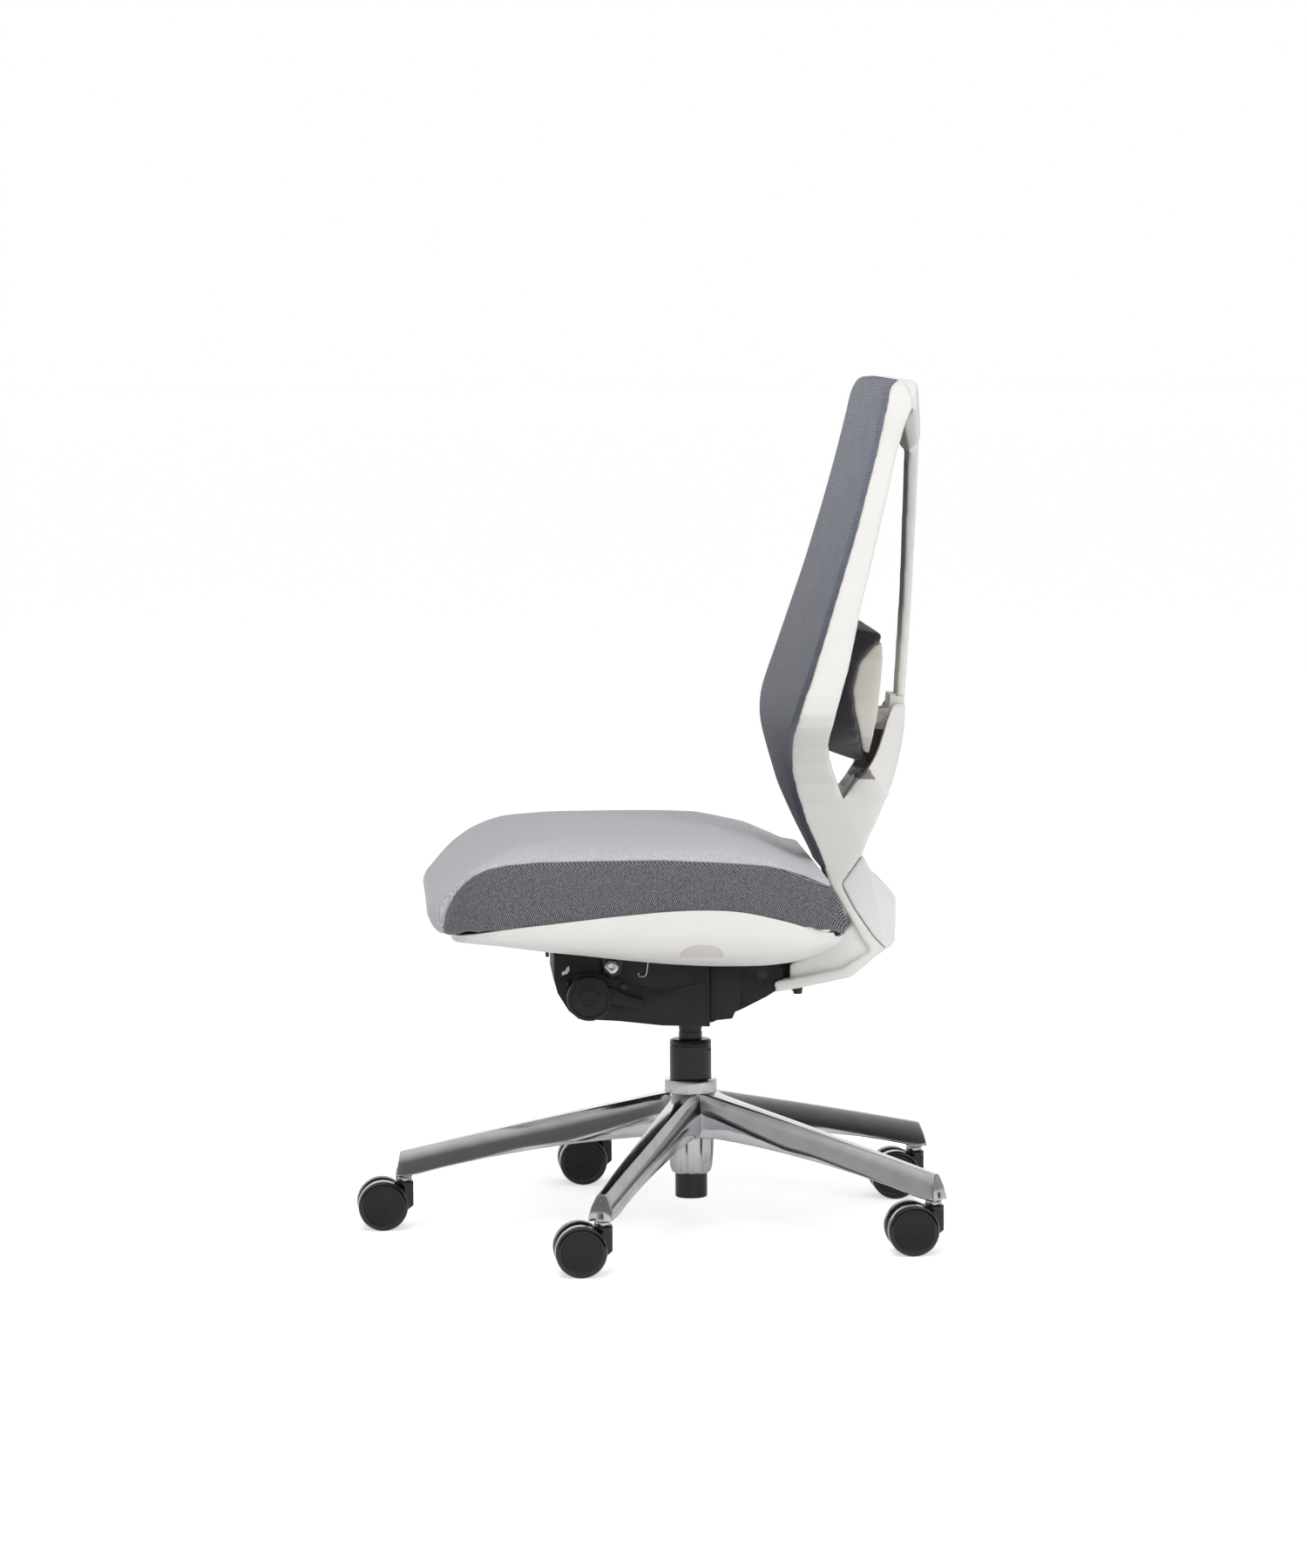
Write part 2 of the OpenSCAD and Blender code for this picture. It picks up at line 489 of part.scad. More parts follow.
module back_panel() color([0.36, 0.38, 0.42]) intersection() {
  across(concat([for (p = panel_front) [p[0] - 2, p[1]]], [[158, 436]],
    turned([for (i = [0 : 20]) frame_front[i]])), -far, far);
  along(both_sides([for (p = shield) [p[0] + 1, p[1]]]), 50, 400);
  both() translate([0, 150, 0]) rotate([0, 0, panel_crown]) translate([0, -150, 0])
    across(concat(panel_front, [[300, 436], [300, 1019]]), -40, 260);
}

// ---- lumbar ----
module lumbar_carriage() color([0.93, 0.92, 0.89]) difference() {
  union() {
    translate(spine_foot) rotate([-spine_lean, 0, 0]) {
      block([-24, -8, 0], [24, -gap, 52]);
      block([-14.6, -8, 0], [14.6, 6, 52]);
      both() block([25.4, -8, 0], [29, 9, 50]);
      both() block([24, -8, 0], [29, -gap, 50]);
    }
    both() across([[216, 602], [228, 600], [240, 600], [240, 626], [228, 624], [216, 622]], 18, 24);
  }
  pin_x(-40, 40, lumbar_pivot_y, lumbar_pivot_z, lumbar_pin_r + fit);
}
module lumbar_pin() color([0.7, 0.7, 0.7]) pin_x(-32, 32, lumbar_pivot_y, lumbar_pivot_z, lumbar_pin_r);
module lumbar_shell() color([0.88, 0.86, 0.82]) difference() {
  union() {
    intersection() {
      across(concat(lumbar_back, [[213, 600], [213, 640], [221, 690]]), -150, 150);
      along(both_sides([[92, 720], [106, 706], [111, 690], [111, 640], [106, 613], [96, 597],
        [74, 582], [64, 570]]), 100, 300);
    }
    both() across([[210, 604], [222, 605], [228, 609], [228, 617], [222, 621], [210, 622]], 30.5, 36);
  }
  pin_x(-32, 32, lumbar_pivot_y, lumbar_pivot_z, lumbar_pin_r);
  both() pin_x(20, 32, lumbar_pivot_y, lumbar_pivot_z, lumbar_pin_r);
}
module lumbar_cushion() color([0.07, 0.07, 0.08]) intersection() {
  across(concat([[225, 714], [223.5, 721], [192, 727.5], [168, 732], [131, 602], [150, 586],
    [203, 565], [207, 569]], turned(shifted([for (i = [0 : 5]) lumbar_back[i]], -0.3, 0))), -150, 150);
  along(both_sides([[96, 750], [112, 728], [118, 700], [118, 640], [113, 613], [103, 597],
    [76, 577], [62, 560]]), 100, 300);
}

star_base();
column_tube();
column_bush();
column_clip();
piston_rod();
thrust_bearing();
for (i = [1 : 5]) {
  hood(i);
  pins(i);
  wheel(i, 1);
  wheel(i, -1);
}
gas_cylinder();
release_pin();
height_lever();
mechanism_housing();
housing_lid();
housing_rear_cover();
tilt_springs();
spring_seat();
recline_shaft();
knob_flange();
flange_screws();
wire_clip();
tension_knob();
tilt_lock_lever();
seat_carrier();
tilt_bolts();
seat_pan();
seat_shell();
seat_cushion();
slot_covers();
back_bracket();
back_arm();
arm_bolts();
rear_cover();
back_frame();
back_spine();
back_cup();
back_board();
back_panel();
lumbar_carriage();
lumbar_pin();
lumbar_shell();
lumbar_cushion();
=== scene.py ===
# %% [markdown]
# # A swivel office chair, dressed part by part
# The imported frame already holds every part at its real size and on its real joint. This lesson
# gives those parts their looks: polished castings, moulded shells, knitted and woven covers.
# Each step first says what the piece is on the real chair and how it could be made, and then
# builds it in a short cell. All modelling is done in millimetres and scaled to metres at the end,
# because the numbers of a chair are easier to read that way.

# %% Load the frame and the tools
import bisect
import json
import math
import bmesh
import bpy
from mathutils import Matrix, Vector


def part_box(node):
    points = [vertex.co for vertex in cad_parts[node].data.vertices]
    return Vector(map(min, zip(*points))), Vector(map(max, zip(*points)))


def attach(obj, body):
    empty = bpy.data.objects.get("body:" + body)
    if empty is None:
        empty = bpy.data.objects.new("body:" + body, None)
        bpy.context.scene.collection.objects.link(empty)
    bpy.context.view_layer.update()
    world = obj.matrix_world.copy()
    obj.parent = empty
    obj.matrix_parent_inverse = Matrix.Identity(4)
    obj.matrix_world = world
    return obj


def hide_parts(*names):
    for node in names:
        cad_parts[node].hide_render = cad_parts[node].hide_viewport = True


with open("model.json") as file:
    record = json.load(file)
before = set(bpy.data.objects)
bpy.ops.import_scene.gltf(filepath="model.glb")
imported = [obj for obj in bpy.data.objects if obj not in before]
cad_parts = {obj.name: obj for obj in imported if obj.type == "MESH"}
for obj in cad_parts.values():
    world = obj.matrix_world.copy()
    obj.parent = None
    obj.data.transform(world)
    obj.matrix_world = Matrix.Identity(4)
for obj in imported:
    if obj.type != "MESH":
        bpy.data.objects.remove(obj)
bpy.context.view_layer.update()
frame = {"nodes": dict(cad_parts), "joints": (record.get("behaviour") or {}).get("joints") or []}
nodes = frame["nodes"]
joints = {joint["name"]: joint for joint in frame["joints"]}
MM = 0.001

# %% [markdown]
# ## Small helpers
# A finished mesh is stored with its place in its vertices, smooth-shaded, with its crisp
# edges marked by angle.

# %% Measuring and finishing
def box_mm(node):
    low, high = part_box(node)
    return low / MM, high / MM


def joint_spot(name):
    return Vector(joints[name]["pos_m"]) / MM


def finish_piece(name, bm, paint, body, stands_for=(), sharp=35, recalc=True):
    bmesh.ops.remove_doubles(bm, verts=bm.verts, dist=0.002)
    if recalc:
        bmesh.ops.recalc_face_normals(bm, faces=bm.faces)
    bmesh.ops.scale(bm, vec=(MM, MM, MM), verts=bm.verts)
    for face in bm.faces:
        face.smooth = True
    mesh = bpy.data.meshes.new(name)
    bm.to_mesh(mesh)
    bm.free()
    mesh.set_sharp_from_angle(angle=math.radians(sharp))
    for finish in paint if isinstance(paint, list) else [paint]:
        mesh.materials.append(finish)
    piece = bpy.data.objects.new(name, mesh)
    bpy.context.scene.collection.objects.link(piece)
    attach(piece, body)
    if stands_for:
        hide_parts(*stands_for)
    print(f"{name}: {len(mesh.polygons)} faces")
    return piece


# %% [markdown]
# A few shapes come back again and again: a flat outline pushed out into a slab, a profile spun
# round an axis, and a slab or casting whose crisp edges are rolled over with a bevel.

# %% Slabs, turned shapes and soft edges
def across(bm, outline, x0, x1):
    """A side outline of (y, z) points, extruded across the chair from x0 to x1."""
    verts = [bm.verts.new((x0, y, z)) for y, z in outline]
    face = bmesh.ops.contextual_create(bm, geom=verts)["faces"]
    pushed = bmesh.ops.extrude_face_region(bm, geom=face, use_keep_orig=True)["geom"]
    moved = [g for g in pushed if isinstance(g, bmesh.types.BMVert)]
    bmesh.ops.translate(bm, vec=(x1 - x0, 0, 0), verts=moved)
    return verts + moved


def turned(bm, profile, steps=64, spot=(0, 0, 0), axis="Z"):
    """A profile of (radius, height) points, spun once round an axis through spot."""
    verts = [bm.verts.new((radius, 0, height)) for radius, height in profile]
    edges = [bm.edges.new(pair) for pair in zip(verts, verts[1:])]
    bmesh.ops.spin(bm, geom=verts + edges, cent=(0, 0, 0), axis=(0, 0, 1), dvec=(0, 0, 0),
                   angle=math.tau, steps=steps, use_merge=True)
    made = [v for v in bm.verts if not v.tag]
    bmesh.ops.remove_doubles(bm, verts=made, dist=0.001)
    made = [v for v in bm.verts if not v.tag]
    if axis == "X":
        bmesh.ops.rotate(bm, verts=made, matrix=Matrix.Rotation(math.pi / 2, 3, "Y"))
    bmesh.ops.translate(bm, verts=made, vec=spot)
    for v in made:
        v.tag = True
    return made


def soften(bm, width, segments=2, angle=28):
    """Rolls over every edge that turns by more than angle degrees."""
    crisp = [e for e in bm.edges if len(e.link_faces) == 2
             and e.calc_face_angle(0) > math.radians(angle)]
    bmesh.ops.bevel(bm, geom=crisp, offset=width, offset_type="OFFSET", affect="EDGES",
                    segments=segments, profile=0.5, material=-1, clamp_overlap=True)


def cad_copy(*names):
    """A merged copy of CAD nodes, in millimetres, free to be worked on."""
    bm = bmesh.new()
    for name in names:
        bm.from_mesh(nodes[name].data)
    bmesh.ops.scale(bm, vec=(1 / MM, 1 / MM, 1 / MM), verts=bm.verts)
    bmesh.ops.remove_doubles(bm, verts=bm.verts, dist=0.01)
    return bm


# %% [markdown]
# Moulded plastic has no knife edges, and its walls flow into each other. A voxel skin gives both:
# it melts several solids into one closed skin of even quads, and a few smoothing passes then
# round every corner, as the radius in a mould does.

# %% A voxel skin over CAD copies
def smooth(bm, verts, passes):
    for _ in range(passes):
        bmesh.ops.smooth_vert(bm, verts=verts, factor=0.5,
                              use_axis_x=True, use_axis_y=True, use_axis_z=True)


def voxel_skin(bm, voxel, passes):
    mesh = bpy.data.meshes.new("raw_skin")
    bm.to_mesh(mesh)
    bm.free()
    raw = bpy.data.objects.new("raw_skin", mesh)
    bpy.context.scene.collection.objects.link(raw)
    remesh = raw.modifiers.new("skin", "REMESH")
    remesh.mode = "VOXEL"
    remesh.voxel_size = voxel
    evaluated = raw.evaluated_get(bpy.context.evaluated_depsgraph_get())
    skinned = bpy.data.meshes.new_from_object(evaluated)
    skin = bmesh.new()
    skin.from_mesh(skinned)
    bpy.data.objects.remove(raw)
    bpy.data.meshes.remove(mesh)
    bpy.data.meshes.remove(skinned)
    smooth(skin, skin.verts, passes)
    return skin


def smooth_reader(points):
    """A smooth curve through (position, value) points, read at any position."""
    points = sorted(points)
    spots = [p[0] for p in points]
    values = [p[1] for p in points]
    last = len(points) - 1
    slopes = [(values[min(i + 1, last)] - values[max(i - 1, 0)])
              / (spots[min(i + 1, last)] - spots[max(i - 1, 0)]) for i in range(last + 1)]

    def read(at):
        at = min(max(at, spots[0]), spots[-1])
        i = min(bisect.bisect_right(spots, at) - 1, last - 1)
        step = spots[i + 1] - spots[i]
        t = (at - spots[i]) / step
        return (values[i] * (1 + 2 * t) * (1 - t) ** 2 + values[i + 1] * t * t * (3 - 2 * t)
                + step * slopes[i] * t * (1 - t) ** 2 + step * slopes[i + 1] * t * t * (t - 1))
    return read


# %% [markdown]
# ## Camera, floor and light
# The chair stands on a plain pale floor and is seen from its left side, a little from the front
# and a little from above, with a long lens. The light is soft studio light: big area lamps above
# and in front, in an even white surround. Polished metal only looks polished when it has
# something dark to mirror, so the surround seen by glossy rays has a dark band in it.

# %% Camera
yaw, pitch, roll = math.radians(3.128), math.radians(-5.149), math.radians(-0.365)
forward = Vector((-math.cos(yaw) * math.cos(pitch), math.sin(yaw) * math.cos(pitch),
                  math.sin(pitch)))
right = forward.cross(Vector((0, 0, 1))).normalized()
up = right.cross(forward)
rolled_right = right * math.cos(roll) + up * math.sin(roll)
rolled_up = up * math.cos(roll) - right * math.sin(roll)
camera = bpy.data.objects.new("camera", bpy.data.cameras.new("camera"))
camera.data.sensor_fit = "VERTICAL"
camera.data.sensor_height = 36
camera.data.lens = 125.95
camera.data.clip_end = 100
camera.matrix_world = Matrix((rolled_right, rolled_up, -forward)).transposed().to_4x4()
camera.location = (6.5390, -0.3999, 1.1254)
bpy.context.scene.collection.objects.link(camera)
bpy.context.scene.camera = camera
bpy.context.scene.view_settings.view_transform = "Standard"


# %% Wiring a node tree
def put(tree, kind, values=None, **settings):
    """Adds a shader node. A value that is a socket is linked, any other is set."""
    node = tree.nodes.new(kind)
    for key, setting in settings.items():
        setattr(node, key, setting)
    for key, value in (values or {}).items():
        if isinstance(value, bpy.types.NodeSocket):
            tree.links.new(value, node.inputs[key])
        else:
            node.inputs[key].default_value = value
    return node


def calc(tree, operation, a, b=0.0, c=0.0):
    return put(tree, "ShaderNodeMath", {0: a, 1: b, 2: c}, operation=operation).outputs[0]


def blend_colour(tree, factor, a, b):
    return put(tree, "ShaderNodeMix", {0: factor, 6: a, 7: b}, data_type="RGBA").outputs[2]


def ramp(tree, value, low, high, to_low=0.0, to_high=1.0):
    return put(tree, "ShaderNodeMapRange",
               {0: value, 1: low, 2: high, 3: to_low, 4: to_high}).outputs[0]


# %% Surround, floor and lamps
world = bpy.data.worlds.new("studio")
bpy.context.scene.world = world
world.use_nodes = True
sky = world.node_tree
sky.nodes.clear()
direction = put(sky, "ShaderNodeTexCoord").outputs["Generated"]
ways = put(sky, "ShaderNodeSeparateXYZ", {0: direction}).outputs
toward_lens = ramp(sky, ways["X"], -0.8, 0.7, 1.25, 0.12)
to_the_left = ramp(sky, ways["Y"], -1.0, 0.0, 0.22, 0.0)
to_the_right = ramp(sky, ways["Y"], 0.1, 0.9, 0.0, -0.45)
low_grey = calc(sky, "ADD", calc(sky, "ADD", toward_lens, to_the_left), to_the_right)
low_grey = calc(sky, "MAXIMUM", low_grey, 0.03)
low = put(sky, "ShaderNodeCombineColor", {0: low_grey, 1: low_grey, 2: low_grey}).outputs[0]
mirrored = blend_colour(sky, ramp(sky, ways["Z"], 0.5, 0.8), low, (0.95, 0.95, 0.96, 1))
even = blend_colour(sky, ramp(sky, ways["Z"], -0.2, 1.0), (0.26, 0.26, 0.26, 1),
                    (0.52, 0.52, 0.53, 1))
rays = put(sky, "ShaderNodeLightPath")
seen = blend_colour(sky, rays.outputs["Is Glossy Ray"], even, mirrored)
seen = blend_colour(sky, rays.outputs["Is Camera Ray"], seen, (1, 1, 1, 1))
put(sky, "ShaderNodeOutputWorld",
    {"Surface": put(sky, "ShaderNodeBackground", {"Color": seen}).outputs[0]})

paper = bpy.data.materials.new("pale_paper")
paper.use_nodes = True
paper_shader = paper.node_tree.nodes["Principled BSDF"]
paper_shader.inputs["Base Color"].default_value = (0.93, 0.93, 0.93, 1)
paper_shader.inputs["Roughness"].default_value = 0.9
paper_shader.inputs["Emission Color"].default_value = (1, 1, 1, 1)
paper_rays = put(paper.node_tree, "ShaderNodeLightPath").outputs["Is Camera Ray"]
paper.node_tree.links.new(ramp(paper.node_tree, paper_rays, 0.0, 1.0, 0.12, 0.55),
                          paper_shader.inputs["Emission Strength"])
bm = bmesh.new()
bmesh.ops.create_circle(bm, cap_ends=True, segments=64, radius=60)
floor_mesh = bpy.data.meshes.new("floor")
bm.to_mesh(floor_mesh)
bm.free()
floor_mesh.materials.append(paper)
floor = bpy.data.objects.new("floor", floor_mesh)
bpy.context.scene.collection.objects.link(floor)


def lamp(name, spot, target, size, power):
    data = bpy.data.lights.new(name, "AREA")
    data.shape = "DISK"
    data.size = size
    data.energy = power
    light = bpy.data.objects.new(name, data)
    light.visible_glossy = False
    light.location = spot
    light.rotation_euler = (Vector(target) - Vector(spot)).to_track_quat("-Z", "Y").to_euler()
    bpy.context.scene.collection.objects.link(light)


lamp("overhead", (1.6, -0.6, 3.4), (0, 0, 0.4), 2.0, 53)
lamp("side_soft", (4.4, 0.6, 2.0), (0, 0, 0.6), 2.2, 28)
lamp("rear_soft", (2.8, 3.4, 1.0), (0, 0.15, 0.6), 1.8, 50)
lamp("front_soft", (1.6, -3.2, 1.9), (0, 0, 0.6), 1.6, 3)

# %% [markdown]
# ## Finishes
# Every finish is built from nodes on Object coordinates, so it sits still on its piece. A plastic
# gets a fine spark-erosion grain, a slow drift of tone and a little wear. A metal gets polishing
# lines. A knit or a weave gets its own threads, at their true pitch.

# %% Plastic and metal
def blank(name):
    material = bpy.data.materials.new(name)
    material.use_nodes = True
    tree = material.node_tree
    shader = tree.nodes["Principled BSDF"]
    coords = put(tree, "ShaderNodeTexCoord").outputs["Object"]
    return material, tree, shader, coords


def bump(tree, shader, height, depth_mm, strength=1.0):
    node = put(tree, "ShaderNodeBump", {"Height": height, "Distance": depth_mm * MM,
                                        "Strength": strength})
    tree.links.new(node.outputs[0], shader.inputs["Normal"])


def noise(tree, coords, pitch_mm, detail=2.0):
    return put(tree, "ShaderNodeTexNoise", {"Vector": coords, "Scale": 1 / (pitch_mm * MM),
                                            "Detail": detail}).outputs["Fac"]


def plastic(name, colour, tone, roughness, grain_mm=0.9, grain_depth=0.03, coat=0.0, shine=0.5):
    material, tree, shader, coords = blank(name)
    drift = noise(tree, coords, 90, 3)
    colour_now = blend_colour(tree, ramp(tree, drift, 0.3, 0.7), (*colour, 1), (*tone, 1))
    tree.links.new(colour_now, shader.inputs["Base Color"])
    scuffs = ramp(tree, noise(tree, coords, 14, 4), 0.35, 0.75, roughness * 0.9, roughness * 1.15)
    tree.links.new(scuffs, shader.inputs["Roughness"])
    bump(tree, shader, noise(tree, coords, grain_mm), grain_depth, 0.5)
    shader.inputs["Specular IOR Level"].default_value = shine
    shader.inputs["Coat Weight"].default_value = coat
    shader.inputs["Coat Roughness"].default_value = 0.12
    return material


def metal(name, colour, roughness, line_mm=0.35, line_depth=0.004, stretch=(1, 12, 12)):
    material, tree, shader, coords = blank(name)
    brushed = put(tree, "ShaderNodeMapping", {"Vector": coords, "Scale": stretch}).outputs[0]
    lines = noise(tree, brushed, line_mm * 12, 3)
    clouds = noise(tree, coords, 30, 3)
    shade = blend_colour(tree, ramp(tree, clouds, 0.3, 0.7), (*colour, 1),
                         (*[c * 0.86 for c in colour], 1))
    tree.links.new(shade, shader.inputs["Base Color"])
    shader.inputs["Metallic"].default_value = 1.0
    spread = ramp(tree, clouds, 0.3, 0.75, roughness * 0.75, roughness * 1.35)
    tree.links.new(spread, shader.inputs["Roughness"])
    bump(tree, shader, lines, line_depth, 0.6)
    return material


warm_white = plastic("warm_white_plastic", (0.76, 0.75, 0.715), (0.73, 0.72, 0.69), 0.42)
cool_white = plastic("cool_white_plastic", (0.74, 0.745, 0.74), (0.71, 0.715, 0.71), 0.38)
# Painted shade: a darker brown-grey copy of the white plastic for the inside of the back cup.
cup_painted_shade = plastic("cup_hollow_painted_shade", (0.27, 0.245, 0.23), (0.24, 0.215, 0.20), 0.6)
beige = plastic("beige_plastic", (0.62, 0.585, 0.535), (0.59, 0.555, 0.51), 0.5)
black_moulding = plastic("black_plastic", (0.010, 0.009, 0.010), (0.015, 0.014, 0.015), 0.42,
                         shine=0.3)
caster_gloss = plastic("caster_gloss", (0.005, 0.0045, 0.005), (0.008, 0.007, 0.008), 0.12,
                       coat=0.5, shine=0.3)
caster_matt = plastic("caster_matt", (0.013, 0.012, 0.013), (0.019, 0.017, 0.019), 0.42, 1.4,
                      0.06, shine=0.3)
cast_black = plastic("cast_black", (0.011, 0.010, 0.011), (0.017, 0.0155, 0.017), 0.5, 2.0, 0.12,
                     shine=0.3)
column_black = plastic("column_black", (0.010, 0.008, 0.010), (0.014, 0.011, 0.014), 0.26, 1.2,
                       0.02, shine=0.4)
polished = metal("polished_aluminium", (0.56, 0.57, 0.58), 0.12)
bright_steel = metal("bright_steel", (0.62, 0.63, 0.65), 0.24)
zinc = metal("zinc_bolt", (0.70, 0.71, 0.72), 0.22)
print("plain finishes ready")

# %% [markdown]
# The back is covered in a ribbed knit. Its ribs run level across the back, a few millimetres
# apart, and each rib is a row of small slanted stitches. A sine of the height gives the ribs and
# a second sine along the width breaks them into stitches. Lower down the back the knit is drawn
# darker: this is painted shade on the part that faces down, not a change in the yarn.

# %% Ribbed knit for the back
def ripple(tree, coordinate, pitch_mm, shift=0.0):
    turns = calc(tree, "MULTIPLY_ADD", coordinate, math.tau / (pitch_mm * MM), shift)
    return calc(tree, "SINE", turns)


def ribbed_knit(name, rib_mm, stitch_mm, valley, crest):
    material, tree, shader, coords = blank(name)
    spot = put(tree, "ShaderNodeSeparateXYZ", {0: coords}).outputs
    wander = calc(tree, "MULTIPLY", noise(tree, coords, 35), 0.0035)
    height = calc(tree, "ADD", spot["Z"], wander)
    rib = ripple(tree, height, rib_mm)
    run = calc(tree, "ADD", spot["X"], calc(tree, "MULTIPLY", spot["Y"], 1.7))
    stitch = ripple(tree, calc(tree, "ADD", run, calc(tree, "MULTIPLY", spot["Z"], 0.8)), stitch_mm)
    relief = calc(tree, "MULTIPLY_ADD", stitch, 0.55, calc(tree, "MULTIPLY", rib, 0.35))
    fuzz = noise(tree, coords, 1.3, 2)
    relief = calc(tree, "MULTIPLY_ADD", fuzz, 1.5, relief)
    share = ramp(tree, relief, -0.05, 1.6)
    patch = ramp(tree, noise(tree, coords, 22, 3), 0.35, 0.7, 0.85, 1.1)
    # Painted shade: the light threads fade towards the bottom of the back, where the panel faces
    # down.
    painted_shade_below = ramp(tree, spot["Z"], 0.52, 0.98, 0.10, 1.1)
    share = calc(tree, "MULTIPLY", calc(tree, "MULTIPLY", share, patch), painted_shade_below)
    colour = blend_colour(tree, share, (*valley, 1), (*crest, 1))
    tree.links.new(colour, shader.inputs["Base Color"])
    shader.inputs["Roughness"].default_value = 0.85
    shader.inputs["Sheen Weight"].default_value = 0.25
    shader.inputs["Sheen Roughness"].default_value = 0.5
    bump(tree, shader, relief, 0.35, 0.7)
    return material


back_knit = ribbed_knit("back_knit", 2.6, 1.8, (0.038, 0.042, 0.058), (0.28, 0.30, 0.37))

# %% [markdown]
# The seat wears two cloths. The top is a fine heathered weave. The side band is an open mesh of
# dark cells with light threads between them. The mesh attribute "band" holds how far a point lies
# inside the band, in millimetres, so the border between the cloths is sharp however coarse the
# mesh is, and the stitched seam runs along its zero line. The cells follow X plus Y, so they keep
# their width on the sides and on the rear face alike.

# %% Two cloths for the seat
def weave_relief(tree, spot, coords, pitch_mm):
    warp = ripple(tree, spot["X"], pitch_mm)
    weft = ripple(tree, spot["Y"], pitch_mm)
    slub = noise(tree, put(tree, "ShaderNodeMapping",
                           {"Vector": coords, "Scale": (3, 1, 1)}).outputs[0], 3.2, 4)
    return calc(tree, "MULTIPLY_ADD", slub, 2.4, calc(tree, "MULTIPLY", warp, weft))


def seat_cloth(name):
    material, tree, shader, coords = blank(name)
    spot = put(tree, "ShaderNodeSeparateXYZ", {0: coords}).outputs
    band = put(tree, "ShaderNodeAttribute", attribute_name="band").outputs["Fac"]
    top_relief = weave_relief(tree, spot, coords, 1.5)
    top_share = ramp(tree, top_relief, 0.2, 2.2)
    top = blend_colour(tree, top_share, (0.30, 0.30, 0.325, 1), (0.66, 0.66, 0.69, 1))
    round_the_edge = calc(tree, "ADD", spot["X"], spot["Y"])
    across_cells = ripple(tree, calc(tree, "MULTIPLY_ADD", spot["Z"], 0.55, round_the_edge), 3.3)
    up_cells = ripple(tree, calc(tree, "MULTIPLY_ADD", spot["Y"], -0.25, spot["Z"]), 2.7)
    cells = calc(tree, "MULTIPLY", across_cells, up_cells)
    fleck = noise(tree, coords, 2.2, 3)
    mesh_relief = calc(tree, "MULTIPLY_ADD", fleck, 1.6, cells)
    side = blend_colour(tree, ramp(tree, mesh_relief, 0.35, 1.7),
                        (0.010, 0.009, 0.013, 1), (0.32, 0.31, 0.34, 1))
    inside = ramp(tree, band, -0.5, 0.5)
    colour = blend_colour(tree, inside, top, side)
    stitch_line = ramp(tree, calc(tree, "ABSOLUTE", band), 0.4, 1.5, 0.45, 0.0)
    colour = blend_colour(tree, stitch_line, colour, (0.07, 0.07, 0.08, 1))
    tree.links.new(colour, shader.inputs["Base Color"])
    shader.inputs["Roughness"].default_value = 0.9
    shader.inputs["Sheen Weight"].default_value = 0.3
    shader.inputs["Sheen Roughness"].default_value = 0.45
    relief = put(tree, "ShaderNodeMix", {0: inside, 2: calc(tree, "MULTIPLY", top_relief, 0.35),
                                         3: mesh_relief}).outputs[0]
    bump(tree, shader, relief, 0.35, 0.6)
    return material


seat_fabric = seat_cloth("seat_cloth")


def plain_cloth(name, dark, light):
    material, tree, shader, coords = blank(name)
    spot = put(tree, "ShaderNodeSeparateXYZ", {0: coords}).outputs
    relief = weave_relief(tree, spot, coords, 1.2)
    colour = blend_colour(tree, ramp(tree, relief, 0.2, 2.4), (*dark, 1), (*light, 1))
    tree.links.new(colour, shader.inputs["Base Color"])
    shader.inputs["Roughness"].default_value = 0.88
    shader.inputs["Sheen Weight"].default_value = 0.35
    bump(tree, shader, relief, 0.2, 0.6)
    return material


black_cloth = plain_cloth("black_cloth", (0.010, 0.009, 0.011), (0.032, 0.029, 0.033))
print("cloths ready")

# %% [markdown]
# ## The star base
# The base is one polished aluminium casting: a hub with a collar, and five arms that fall and
# narrow towards the caster sockets. It could be milled from a solid, but a casting is built
# here as one is drawn: sections along an arm, skinned, with a narrow ridge on top, a lower facet
# that runs out of the hub, a hollow underside, and then the arm copied five times.

# %% Arm sections
HUB_R, ARM_COUNT = 31.5, 5
caster_spots = [joint_spot(f"caster_{i}_swivel") for i in range(1, ARM_COUNT + 1)]
STEM_R = math.hypot(caster_spots[0].x, caster_spots[0].y)
first_turn = math.atan2(caster_spots[0].x, caster_spots[0].y)
arm_top = smooth_reader([(20, 166), (30, 163), (150, 137.5), (250, 115.5), (STEM_R + 4, 92.5)])
arm_foot = smooth_reader([(20, 110), (55, 110.5), (158, 101), (273, 81), (334, 65.8),
                          (STEM_R + 10, 62.8)])


def flank(reach, height):
    """Half width of an arm: its flanks lean outwards below and close in towards the end."""
    return 25 - (reach - 20) * 0.0664 - (height - 112) * 0.22


